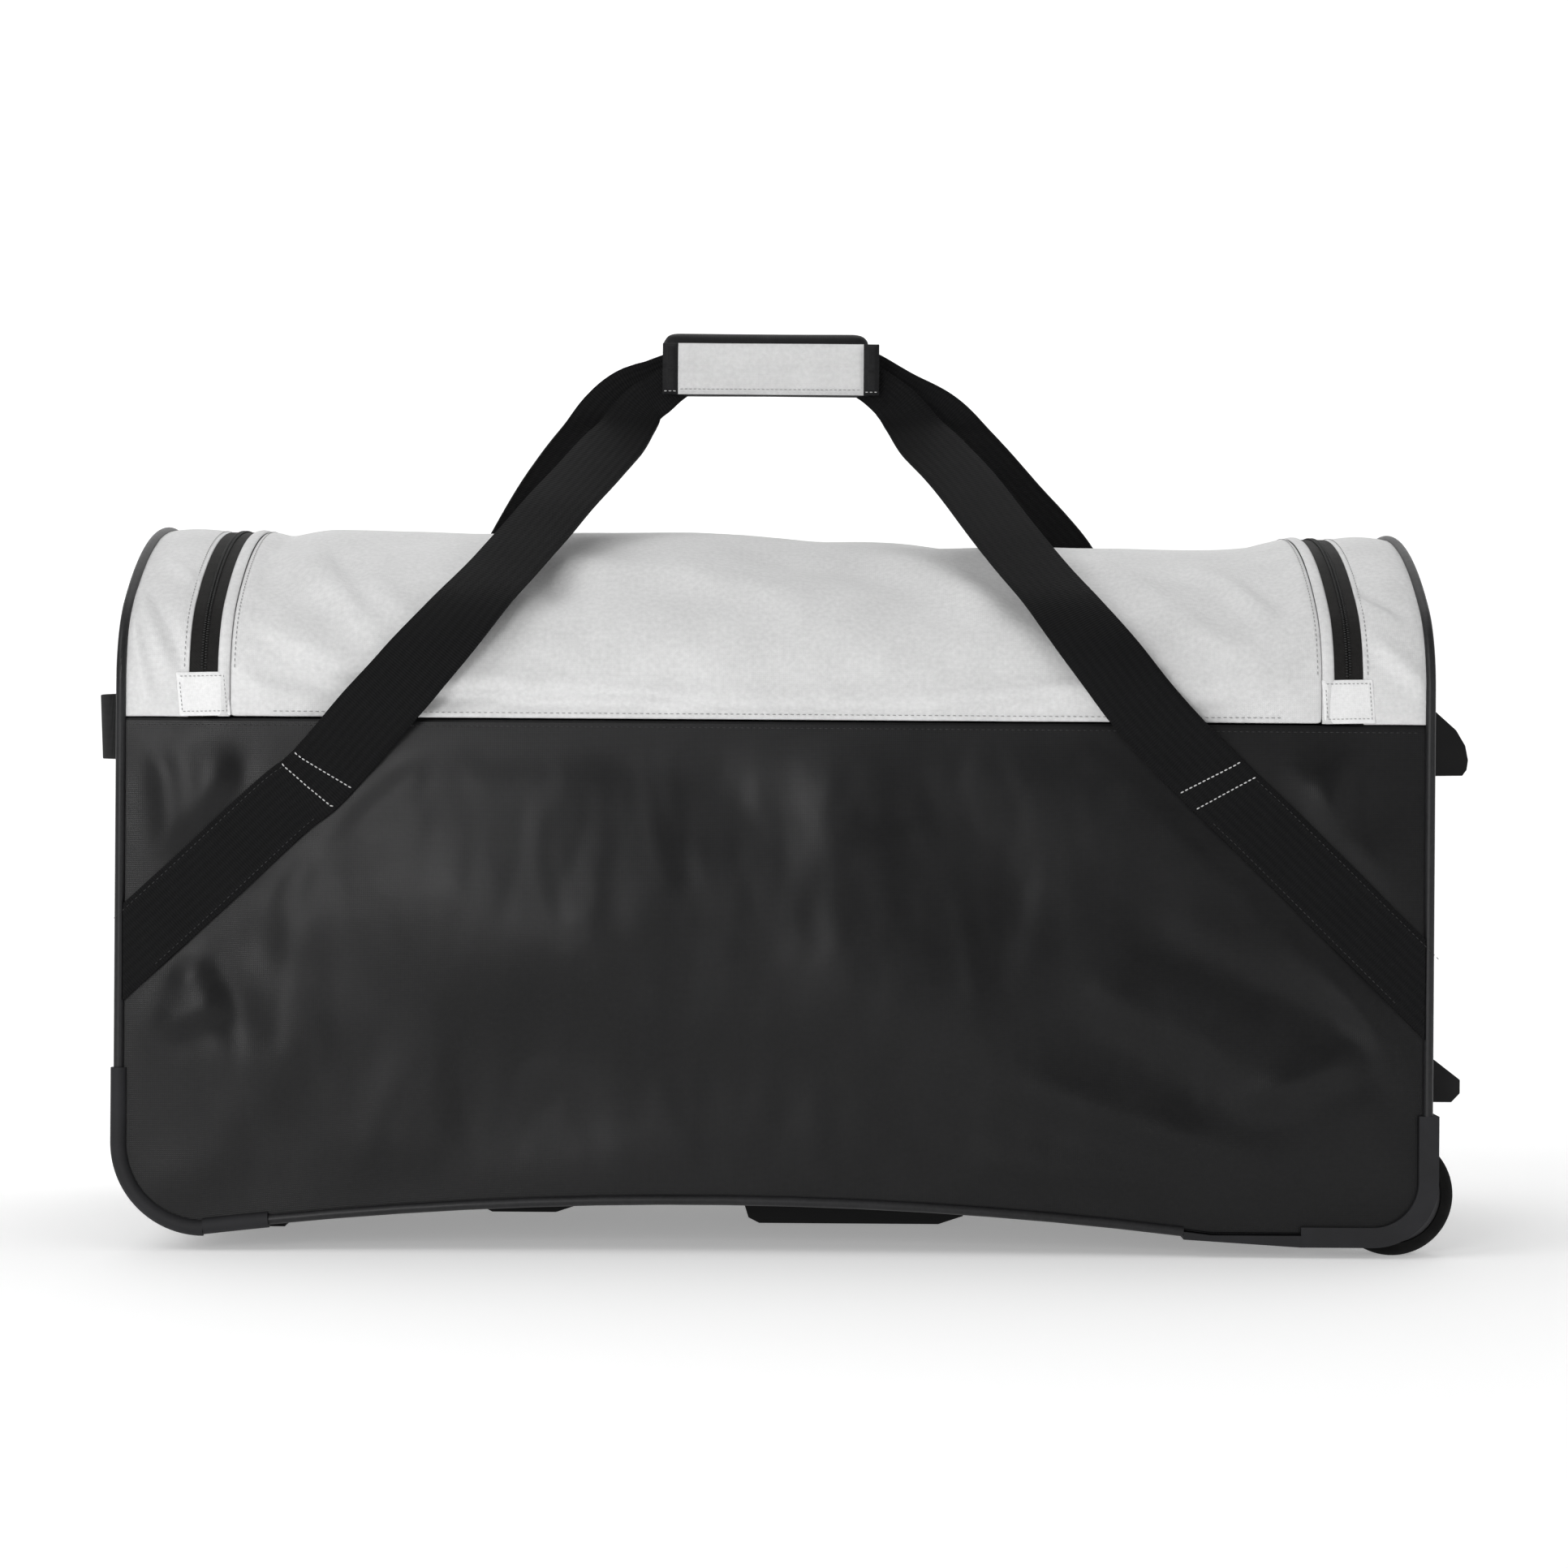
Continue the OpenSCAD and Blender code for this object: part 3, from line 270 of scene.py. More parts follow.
# Thread spacing of 600-denier cloth is about 0.5 mm. It is drawn two to four times coarser so
# that it shows at the size of the picture.
def make_materials(p):
    made = {}
    # Grey PVC-backed polyester: pale, faintly mottled, satin coating over a close weave
    made["grey_fabric"] = woven("coated polyester, light grey", p.grey_dark, p.grey, 1.4, 0.5,
                                0.12, specular=0.4)
    # Black PVC-backed polyester: the same cloth with a broad soft shine along its folds
    made["black_fabric"] = woven("coated polyester, black", p.black, p.black_light, 1.4, 0.35,
                                 0.12, specular=0.25)
    # Ballistic nylon of the ends and base: coarser basket weave, duller
    made["black_end_fabric"] = woven("ballistic nylon, black", "#141415", "#1E1E20", 2.0, 0.58,
                                     0.25, specular=0.3)
    made["white_fabric"] = woven("nylon tab, white", "#E6E6E6", "#F6F6F6", 1.0, 0.55, 0.1)
    # Padded wrap: knitted face cloth, binding tape, hook and loop pile
    made["wrap_pad"] = woven("nylon wrap cover, black", "#0E0E0F", "#18181A", 1.4, 0.6, 0.2,
                             specular=0.25)
    made["wrap_face"] = woven("brushed wrap face, grey", "#D2D2D2", "#E0E0E0", 1.3, 0.6, 0.2,
                              mottling_mm=25, sheen=0.25)
    made["hook_and_loop"] = moulded("hook and loop pile, black", "#141414", "#232323", 0.9, 0.6,
                                    0.6)
    made["piping"] = woven("binding over cord, black", "#141415", "#202022", 1.2, 0.42, 0.1,
                           specular=0.35, coords="Object")
    made["zip_tape"] = woven("zip tape, black", "#131211", "#1E1D1C", 1.1, 0.7, 0.15, twill=True,
                             specular=0.2, coords="Object")
    made["zip_coil"] = moulded("nylon zip coil, black", "#141414", "#242424", 0.5, 0.3, 0.02)
    made["webbing"] = webbing_material("polypropylene webbing, black", "#060607", "#0F0F10", 1.8,
                                       0.7)
    made["stiff_board"] = moulded("polypropylene board, dark grey", "#343436", "#404042", 0.8,
                                  0.55, 0.05)
    # Injection-moulded polypropylene: fine grain, satin
    made["moulded_black"] = moulded("moulded polypropylene, black", "#121213", "#1E1E1F", 0.7,
                                    0.42, 0.06, specular=0.35)
    made["moulded_grey"] = moulded("moulded polypropylene, charcoal", "#1C1C1E", "#29292C", 0.7,
                                   0.4, 0.06, specular=0.35)
    # Polyurethane tyre: dull, rubbed paler on the tread
    made["tyre"] = moulded("polyurethane tyre, black", "#131313", "#242322", 1.2, 0.6, 0.1,
                           specular=0.3)
    made["hub"] = moulded("moulded nylon hub, grey", "#4A4A4C", "#5C5C5E", 0.7, 0.45, 0.05)
    made["steel"] = plated("zinc-plated steel", "#B9BBBD", "#8D8F92", 0.34)
    made["bearing_steel"] = plated("bearing steel, polished", "#C4C6C8", "#A9ABAD", 0.2)
    made["slider_metal"] = plated("nickel-plated zinc, gunmetal", "#5A5B5E", "#3D3E40", 0.3)
    made["white_thread"] = moulded("bonded nylon thread, white", "#C8C8C8", "#E4E4E4", 0.4, 0.5,
                                   0.03)
    made["dark_thread"] = moulded("bonded nylon thread, charcoal", "#2A2A2B", "#3A3A3B", 0.4,
                                  0.5, 0.03)
    made["pale_thread"] = moulded("bonded nylon thread, grey", "#8E8E8E", "#A4A4A4", 0.4, 0.5,
                                  0.03)
    return made


# Meshes -----------------------------------------------------------------------


def piece(name, bm, material):
    """Object from a finished bmesh, in the frame's own place."""
    mesh = bpy.data.meshes.new(name)
    bm.to_mesh(mesh)
    bm.free()
    obj = bpy.data.objects.new(name, mesh)
    bpy.context.scene.collection.objects.link(obj)
    mesh.materials.append(MATERIALS[material])
    for polygon in mesh.polygons:
        polygon.use_smooth = True
    return obj


def cloth(name, us, vs, place, outward, material, drop=None, trim=()):
    """One sheet of fabric. place(u, v) gives a point; the faces point to outward(point)."""
    bm = bmesh.new()
    bmesh.ops.create_grid(bm, x_segments=len(us) - 1, y_segments=len(vs) - 1, size=0.5)
    layer = bm.loops.layers.uv.new("Weave")
    flat = {}
    for v in bm.verts:
        i = round((v.co.x + 0.5) * (len(us) - 1))
        j = round((v.co.y + 0.5) * (len(vs) - 1))
        flat[v] = (us[i], vs[j])
        v.co = place(us[i], vs[j])
    for face in bm.faces:
        for loop in face.loops:
            loop[layer].uv = flat[loop.vert]
    for side_x in trim:
        bmesh.ops.bisect_plane(bm, geom=bm.verts[:] + bm.edges[:] + bm.faces[:], dist=1e-6,
                               plane_co=(side_x, 0, 0), plane_no=(side_x, 0, 0),
                               clear_outer=True)
    if drop:
        gone = [f for f in bm.faces if drop(f.calc_center_median())]
        bmesh.ops.delete(bm, geom=gone, context="FACES")
    bm.normal_update()
    facing = sum(f.normal.dot(outward(f.calc_center_median())) for f in bm.faces)
    if facing < 0:
        bmesh.ops.reverse_faces(bm, faces=bm.faces[:])
    return piece(name, bm, material)


def away_from_inside(co):
    """Outward direction at a point of the crown."""
    return Vector((0, co.y, co.z - 0.3))


def lay_weave(obj, flat):
    """Lays the weave out in metres: flat(co) is a point's place on the flat cloth."""
    layer = obj.data.uv_layers.get("Weave") or obj.data.uv_layers.new(name="Weave")
    for loop in obj.data.loops:
        layer.data[loop.index].uv = flat(obj.data.vertices[loop.vertex_index].co)


def spaced(a, b, n):
    """n + 1 values evenly spaced from a to b."""
    return [a + (b - a) * i / n for i in range(n + 1)]


def smooth(t):
    """Rises from 0 at t = 0 to 1 at t = 1 with soft ends."""
    t = min(1.0, max(0.0, t))
    return t * t * (3 - 2 * t)


def fold_height(x, y, folds):
    """Height of listed folds. Each runs from one point to another, is so wide and so high."""
    total = 0.0
    for x0, y0, x1, y1, wide, high in folds:
        dx, dy = x1 - x0, y1 - y0
        length = math.hypot(dx, dy)
        t = ((x - x0) * dx + (y - y0) * dy) / length**2
        if not -0.3 < t < 1.3:
            continue
        d = ((x - x0) * dy - (y - y0) * dx) / length / wide
        if abs(d) > 4:
            continue
        ends = smooth((t + 0.3) / 0.5) * smooth((1.3 - t) / 0.5)
        total += high * ends * (math.exp(-d * d) - 0.45 * math.exp(-(((d - 1.6) / 1.1) ** 2)))
    return total


def ripple(x, y, seed, size, high):
    """Slow uneven swell of slack fabric, size metres from crest to crest."""
    return high * noise.fractal(Vector((x / size, y / size, seed)), 1.1, 2.1, 2)


def finish_cloth(obj, thick, levels=1):
    """Gives a sheet its thickness, inwards from its face."""
    solid = obj.modifiers.new("Thickness", "SOLIDIFY")
    solid.thickness = thick
    solid.offset = -1.0
    if levels:
        sub = obj.modifiers.new("Smooth", "SUBSURF")
        sub.levels = sub.render_levels = levels
    return obj


def finish_webbing(obj, thick, offset=-1.0):
    """Gives webbing its thickness and a rounded selvedge."""
    finish_cloth(obj, thick, 0)
    obj.modifiers["Thickness"].offset = offset
    bevel = obj.modifiers.new("Selvedge", "BEVEL")
    bevel.width, bevel.segments, bevel.limit_method = 0.0007, 2, "ANGLE"


def settle(obj, frames, shrink, cap, pinned, stiff=8.0, gravity=0.15, pressure=0.0,
           bending=0.8):
    """Lets a sheet with spare cloth buckle between its seams, moving no point more than cap."""
    start = [v.co.copy() for v in obj.data.vertices]
    group = obj.vertex_groups.new(name="Seams")
    for i, co in enumerate(start):
        held = pinned(co)
        if held > 0:
            group.add([i], min(1.0, held), "REPLACE")
    mod = obj.modifiers.new("Cloth", "CLOTH")
    s = mod.settings
    s.quality = 6
    s.mass = 0.3
    s.tension_stiffness = s.compression_stiffness = stiff
    s.shear_stiffness = stiff / 2
    s.bending_stiffness = bending
    s.vertex_group_mass = "Seams"
    s.shrink_min = s.shrink_max = shrink
    s.effector_weights.gravity = gravity
    if pressure:
        s.use_pressure = True
        s.uniform_pressure_force = pressure
    mod.collision_settings.use_collision = False
    mod.point_cache.frame_start = 1
    mod.point_cache.frame_end = frames
    scene = bpy.context.scene
    for f in range(1, frames + 1):
        scene.frame_set(f)
    graph = bpy.context.evaluated_depsgraph_get()
    made = obj.evaluated_get(graph).to_mesh()
    moved = [v.co.copy() for v in made.vertices]
    obj.evaluated_get(graph).to_mesh_clear()
    obj.modifiers.remove(mod)
    scene.frame_set(1)
    for v, a, b in zip(obj.data.vertices, start, moved):
        step = b - a
        if not math.isfinite(step.length):
            raise RuntimeError(f"{obj.name}: the cloth simulation did not settle")
        v.co = a + step * (min(1.0, cap / step.length) if step.length > 1e-9 else 1.0)
    obj.data.update()


# Rows of stitches: pitch, length and half thickness of one stitch in metres, and the thread
ROWS = {
    "side seam": (0.0042, 0.0030, 0.00035, "dark_thread"),
    "lid seam": (0.0042, 0.0030, 0.00032, "pale_thread"),
    "tab": (0.0030, 0.0022, 0.00028, "pale_thread"),
    "strap fold": (0.0034, 0.0029, 0.00055, "white_thread"),
    "strap edge": (0.0040, 0.0028, 0.00030, "dark_thread"),
    "binding": (0.0034, 0.0026, 0.00040, "white_thread"),
    "wrap face": (0.0034, 0.0026, 0.00030, "pale_thread"),
    "handle box": (0.0036, 0.0026, 0.00040, "pale_thread"),
}


def stitches(name, points, normals, kind):
    """Row of thread stitches along a line of points. One normal serves a flat surface."""
    pitch, length, thick, thread = ROWS[kind]
    if isinstance(normals, Vector):
        normals = [normals] * len(points)
    bm = bmesh.new()
    travelled, due = 0.0, pitch / 2
    for a, b, n in zip(points, points[1:], normals):
        step = (b - a).length
        while travelled + step >= due:
            at = a + (b - a) * ((due - travelled) / max(step, 1e-9))
            along = (b - a).normalized()
            side = n.cross(along).normalized()
            made = bmesh.ops.create_icosphere(bm, subdivisions=1, radius=1.0)
            for v in made["verts"]:
                v.co = at + along * v.co.x * length / 2 + side * v.co.y * thick + n * v.co.z * thick
            due += pitch
        travelled += step
    return piece(name, bm, thread)


def softened(name, node, material, width=0.8, angle=35):
    """Copy of a moulded part with its edges eased as the mould leaves them."""
    bm = bmesh.new()
    bm.from_mesh(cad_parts[node].data)
    bmesh.ops.remove_doubles(bm, verts=bm.verts[:], dist=1e-5)
    bmesh.ops.dissolve_limit(bm, angle_limit=math.radians(0.5), verts=bm.verts[:],
                             edges=bm.edges[:])
    obj = piece(name, bm, material)
    bevel = obj.modifiers.new("Eased edges", "BEVEL")
    bevel.width = width * MM
    bevel.segments = 3
    bevel.limit_method = "ANGLE"
    bevel.angle_limit = math.radians(angle)
    obj.data.set_sharp_from_angle(angle=math.radians(28))
    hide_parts(node)
    return obj


# Sizes and colours a user may change ------------------------------------------


class BagSettings(bpy.types.PropertyGroup):
    """Colours and sizes of the cloth and the webbing"""

    grey: bpy.props.StringProperty(
        name="Lid colour", description="Light shade of the lid cloth", default="#E4E4E4")
    grey_dark: bpy.props.StringProperty(
        name="Lid shade", description="Dark shade of the lid cloth", default="#D2D2D2")
    black: bpy.props.StringProperty(
        name="Body colour", description="Dark shade of the body cloth", default="#0B0B0C")
    black_light: bpy.props.StringProperty(
        name="Body shade", description="Light shade of the body cloth", default="#121213")
    cloth_thickness: bpy.props.FloatProperty(
        name="Cloth thickness", description="Thickness of the coated cloth with its lining",
        default=0.0022, min=0.001, max=0.004, unit="LENGTH")
    fold_depth: bpy.props.FloatProperty(
        name="Fold depth", description="Share of the full height of the cloth's folds",
        default=1.0, min=0.0, max=1.5, subtype="FACTOR")
    strap_width: bpy.props.FloatProperty(
        name="Strap width", description="Width of the carrying strap webbing",
        default=0.050, min=0.030, max=0.060, unit="LENGTH")


def settings():
    """The settings of the scene at hand."""
    return bpy.context.scene.hockey_bag


# Fabric panels ----------------------------------------------------------------

# Folds of a long side in metres: along and height of both ends, then width and height of the fold
BLACK_FOLDS = [
    # falls from the seam near the handle end
    (-0.430, 0.350, -0.418, 0.250, 0.0125, 0.0025), (-0.395, 0.365, -0.402, 0.270, 0.015, 0.0022),
    (-0.372, 0.360, -0.352, 0.262, 0.0137, -0.0025), (-0.440, 0.230, -0.395, 0.185, 0.015, 0.0022),
    (-0.425, 0.160, -0.385, 0.175, 0.0112, 0.0022), (-0.400, 0.215, -0.365, 0.150, 0.015, -0.0022),
    (-0.350, 0.300, -0.330, 0.215, 0.020, 0.0022), (-0.330, 0.225, -0.345, 0.120, 0.020, 0.0019),
    # broad shallow waves along the middle
    (-0.280, 0.250, -0.100, 0.210, 0.060, 0.005), (-0.200, 0.130, -0.020, 0.110, 0.060, -0.004),
    (-0.060, 0.330, 0.020, 0.300, 0.040, -0.0015), (0.040, 0.200, 0.180, 0.150, 0.050, 0.004),
    (0.100, 0.330, 0.180, 0.250, 0.040, -0.0015),
    # diagonals towards the wheel
    (0.180, 0.120, 0.300, 0.080, 0.0175, 0.0028), (0.220, 0.190, 0.360, 0.120, 0.0187, 0.0028),
    (0.270, 0.220, 0.420, 0.150, 0.0163, -0.0022), (0.380, 0.330, 0.430, 0.230, 0.015, 0.0022),
    (0.330, 0.110, 0.400, 0.140, 0.0125, 0.0022), (0.150, 0.060, 0.260, 0.055, 0.015, 0.0022),
    (0.395, 0.200, 0.445, 0.120, 0.0125, 0.0022), (0.415, 0.360, 0.400, 0.290, 0.0125, -0.0019),
]

# Folds of the lid, in metres along it and over it from the hinge seam
GREY_FOLDS = [
    (-0.360, 0.170, -0.270, 0.055, 0.012, 0.0055), (-0.325, 0.185, -0.285, 0.090, 0.009, -0.004),
    (-0.300, 0.130, -0.225, 0.040, 0.013, 0.004), (-0.365, 0.090, -0.300, 0.030, 0.010, 0.003),
    (-0.210, 0.200, -0.150, 0.110, 0.020, -0.005), (-0.180, 0.165, -0.090, 0.140, 0.020, 0.004),
    (-0.080, 0.150, 0.010, 0.105, 0.018, 0.0035), (-0.020, 0.180, 0.070, 0.150, 0.020, -0.004),
    (0.090, 0.190, 0.150, 0.110, 0.020, 0.004), (0.150, 0.150, 0.215, 0.060, 0.016, -0.004),
    (0.230, 0.180, 0.300, 0.070, 0.013, 0.004), (0.300, 0.170, 0.360, 0.080, 0.010, 0.0045),
    (0.340, 0.130, 0.372, 0.045, 0.008, -0.003), (0.270, 0.090, 0.350, 0.040, 0.012, 0.003),
    (-0.300, 0.330, -0.150, 0.380, 0.025, 0.005), (-0.120, 0.420, 0.020, 0.340, 0.025, -0.005),
    (0.060, 0.300, 0.200, 0.400, 0.026, 0.005), (0.220, 0.430, 0.330, 0.330, 0.020, 0.004),
    (-0.340, 0.460, -0.240, 0.520, 0.014, 0.004), (0.240, 0.520, 0.350, 0.470, 0.014, 0.004),
    (-0.060, 0.520, 0.080, 0.500, 0.018, 0.003),
]


# Middle line of each strap leg: metres along the bag and height
NEAR_LEFT = [(-0.500, 0.165), (-0.4515, 0.2095), (-0.400, 0.257), (-0.345, 0.309), (-0.3195, 0.332),
             (-0.284, 0.372), (-0.254, 0.406), (-0.216, 0.453), (-0.1795, 0.502),
             (-0.1435, 0.5526), (-0.1085, 0.603), (-0.089, 0.623), (-0.067, 0.638),
             (-0.042, 0.6405)]
NEAR_RIGHT = [(0.500, 0.141), (0.4515, 0.1895), (0.398, 0.242), (0.345, 0.294), (0.307, 0.332),
              (0.2665, 0.372), (0.239, 0.406), (0.204, 0.453), (0.1685, 0.502),
              (0.1365, 0.5526), (0.1155, 0.580), (0.094, 0.608), (0.076, 0.626),
              (0.055, 0.638), (0.030, 0.6405)]
FAR_LEFT = [(-0.500, 0.1515), (-0.4515, 0.2000), (-0.398, 0.252), (-0.350, 0.300), (-0.325, 0.332),
            (-0.297, 0.372), (-0.273, 0.406), (-0.244, 0.453), (-0.215, 0.502),
            (-0.173, 0.560), (-0.125, 0.612), (-0.092, 0.636), (-0.060, 0.649), (-0.030, 0.650)]
FAR_RIGHT = [(0.500, 0.1515), (0.4515, 0.2000), (0.398, 0.252), (0.345, 0.300), (0.314, 0.332),
             (0.298, 0.360), (0.283, 0.400), (0.267, 0.440), (0.248, 0.478), (0.228, 0.509),
             (0.205, 0.533), (0.180, 0.555), (0.152, 0.580), (0.124, 0.604), (0.096, 0.626),
             (0.066, 0.645), (0.035, 0.650)]
STRAP_LINES = {-1: (NEAR_LEFT, NEAR_RIGHT), 1: (FAR_LEFT, FAR_RIGHT)}


# Width of cloth held by a seam, and frames a sheet takes to settle
SEAM_HOLD, SETTLE_FRAMES = 0.010, 16
# Deepest hollow and highest fold of a sheet, and the bulge of a filled long side
SINK, SIDE_SWELL, LID_SWELL, BELLY = -0.007, 0.008, 0.006, 0.009


def tail_gap(x, z, side):
    """0 under a strap's sewn tail, rising to 1 clear of it."""
    gap = 1.0
    for line in STRAP_LINES[-1 if side < 0 else 1]:
        (x0, z0), (x1, z1) = line[1], line[4]
        d = abs((x - x0) * (z1 - z0) - (z - z0) * (x1 - x0)) / math.hypot(x1 - x0, z1 - z0)
        if (x < 0) == (x0 < 0):
            gap = min(gap, smooth((d - 0.024) / 0.022))
    return gap


def side_place(side):
    """Place on a long side panel of a point x along it and share v of the way up it."""
    deep = settings().fold_depth

    def place(u, v):
        up = v / SEAM_Z
        x = u
        low = base_at(x)
        z = low + (SEAM_Z - low) * up
        for end, r in ((-1, HANDLE_CORNER), (1, WHEEL_CORNER)):
            below = BASE_Z + r - z
            if below > 0:
                reach = HALF_L - r + math.sqrt(max(0.0, r * r - below * below))
                x = min(x, reach) if end > 0 else max(x, -reach)
        edge = min(1.0, (SEAM_Z - z) / 0.05, (z - low) / 0.05, (HALF_L - abs(x)) / 0.04)
        held = smooth(edge) * tail_gap(x, z, side)
        xs = x if side < 0 else -0.9 * x + 0.03
        out = fold_height(xs, z, BLACK_FOLDS) + ripple(x, z, 3.0 + side, 0.16, 0.0035)
        out += ripple(x * 1.4, z * 0.6, 9.0 + side, 0.035, 0.0006)
        out = max(SINK, min(SIDE_SWELL, 1.25 * out)) * deep * held
        belly = math.cos(math.pi * x / (2.1 * HALF_L)) * math.sin(math.pi * up)
        out += BELLY * max(0.0, belly) * smooth(edge) * tail_gap(x, z, side) - 0.0003
        return Vector((x, side * (HALF_W + out), z))

    return place


def side_pin(co):
    """Holds a long side at its seams and under the straps' tails."""
    near = min(SEAM_Z - co.z, co.z - base_at(co.x), HALF_L - abs(co.x))
    return 1.0 if near < SEAM_HOLD or tail_gap(co.x, co.z, co.y) < 0.25 else 0.0


def lid_pin(co):
    """Holds the lid at its end seams, its hinge seam and its zip."""
    foot = SEAM_Z + SEAM_HOLD if co.y < 0 else TAPE_TOP + 0.008
    return 1.0 if PANEL_X - abs(co.x) < SEAM_HOLD or co.z < foot else 0.0


class BAG_OT_side_panels(bpy.types.Operator):
    """Cuts the two long black side panels and lets them crease between their seams"""

    bl_idname = "bag.side_panels"
    bl_label = "Long side panels"

    def execute(self, context):
        for side, label in ((-1, "hinge"), (1, "zip")):
            obj = cloth(f"{label}_side_cloth", spaced(-HALF_L, HALF_L, 172),
                        spaced(0.0, SEAM_Z, 70), side_place(side),
                        lambda co: Vector((0, side, 0)), "black_fabric")
            settle(obj, SETTLE_FRAMES, -0.006, 0.004, side_pin, bending=4.0)
            finish_cloth(obj, settings().cloth_thickness)
            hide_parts(f"{label}_side_panel")
            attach(obj, "bag")
        return {"FINISHED"}


def lid_sag(x, s):
    """How far the crest stands up: full at the handle end, and sinking towards the wheels."""
    over = math.sin(math.pi * min(1.0, max(0.0, s / CROWN_LEN)))
    return over**2 * (0.0078 - 0.0113 * smooth((x + 0.25) / 0.55)
                      + 0.0006 * math.cos(x * 11.0 + 1.2))


def lid_place(u, v):
    """Place on the lid of a point u along it and v over it."""
    edge = min(1.0, (PANEL_X - abs(u)) / 0.03, v / 0.02, (CROWN_LEN - 0.02 - v) / 0.03)
    held = smooth(edge)
    out = fold_height(u, v, GREY_FOLDS) + ripple(u, v, 21.0, 0.15, 0.0035)
    out += ripple(u * 0.8, v * 1.3, 33.0, 0.04, 0.0006)
    out = max(SINK, min(LID_SWELL, out)) * settings().fold_depth * held
    out += lid_sag(u, v) * smooth(min(1.0, (PANEL_X + 0.002 - abs(u)) / 0.055))
    return on_crown(u, v, out)


class BAG_OT_lid(bpy.types.Operator):
    """Cuts the grey lid and lets it sag and crease over the bag"""

    bl_idname = "bag.lid"
    bl_label = "Lid"

    def execute(self, context):
        top = CROWN_LEN - (TAPE_TOP - SEAM_Z)
        obj = cloth("lid_cloth", spaced(-PANEL_X, PANEL_X, 124), spaced(0.0006, top, 96),
                    lid_place, away_from_inside, "grey_fabric")
        settle(obj, SETTLE_FRAMES, -0.008, 0.005, lid_pin)
        finish_cloth(obj, settings().cloth_thickness)
        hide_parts("lid_panel")
        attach(obj, "lid")
        for end, label in ((-1, "handle"), (1, "wheel")):
            def place(u, v):
                across = (u - PANEL_X) / (LID_X - PANEL_X)
                out = 0.0012 * max(0.0, math.sin(math.pi * across)) ** 0.6 + 0.0006
                return on_crown(end * u, v, out)

            welt = cloth(f"{label}_end_welt", spaced(PANEL_X - 0.0005, LID_X, 8),
                         spaced(0.0006, top, 150), place,
                         away_from_inside, "grey_fabric")
            finish_cloth(welt, settings().cloth_thickness, 0)
            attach(welt, "lid")
            if end > 0:
                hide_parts("lid_welts")
        return {"FINISHED"}


class BAG_OT_gussets(bpy.types.Operator):
    """Sews the grey gusset between each end zip and its end panel"""

    bl_idname = "bag.gussets"
    bl_label = "End gussets"

    def execute(self, context):
        width = HALF_L - GUSSET_X
        for end, label in ((-1, "handle"), (1, "wheel")):
            folds = [(0.006, 0.040, 0.034, 0.105, 0.006, -0.0035),
                     (0.030, 0.015, 0.042, 0.070, 0.006, 0.003),
                     (0.004, 0.120, 0.030, 0.150, 0.007, 0.0025),
                     (0.010, 0.430, 0.036, 0.500, 0.007, 0.003)]
            if end > 0:
                folds = [(0.004, 0.115, 0.030, 0.085, 0.006, -0.003),
                         (0.010, 0.060, 0.040, 0.030, 0.007, 0.003),
                         (0.006, 0.470, 0.036, 0.420, 0.007, 0.003)]

            def place(u, v):
                w = u - GUSSET_X
                held = smooth(min(1.0, w / 0.008, (width - w) / 0.008, v / 0.01,
                                  (CROWN_LEN - v) / 0.01))
                out = fold_height(w, v, folds) + ripple(w, v, 40.0 + end, 0.06, 0.0012)
                out += 0.0022 * math.sin(math.pi * w / width)
                return on_crown(end * u, v, out * held)

            obj = cloth(f"{label}_end_gusset_cloth", spaced(GUSSET_X, HALF_L - 0.001, 20),
                        spaced(0.0, CROWN_LEN, 190), place, away_from_inside, "grey_fabric")
            finish_cloth(obj, settings().cloth_thickness)
            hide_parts(f"{label}_end_gusset")
            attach(obj, "bag")
        return {"FINISHED"}


# Edges of the wheel wells
WELL_X, WELL_Y, WELL_TOP = 0.386, 0.166, 0.094


def well_gap(co):
    """True over a wheel well, where the housing stands in place of the cloth."""
    return co.x > WELL_X and abs(co.y) > WELL_Y and co.z < WELL_TOP


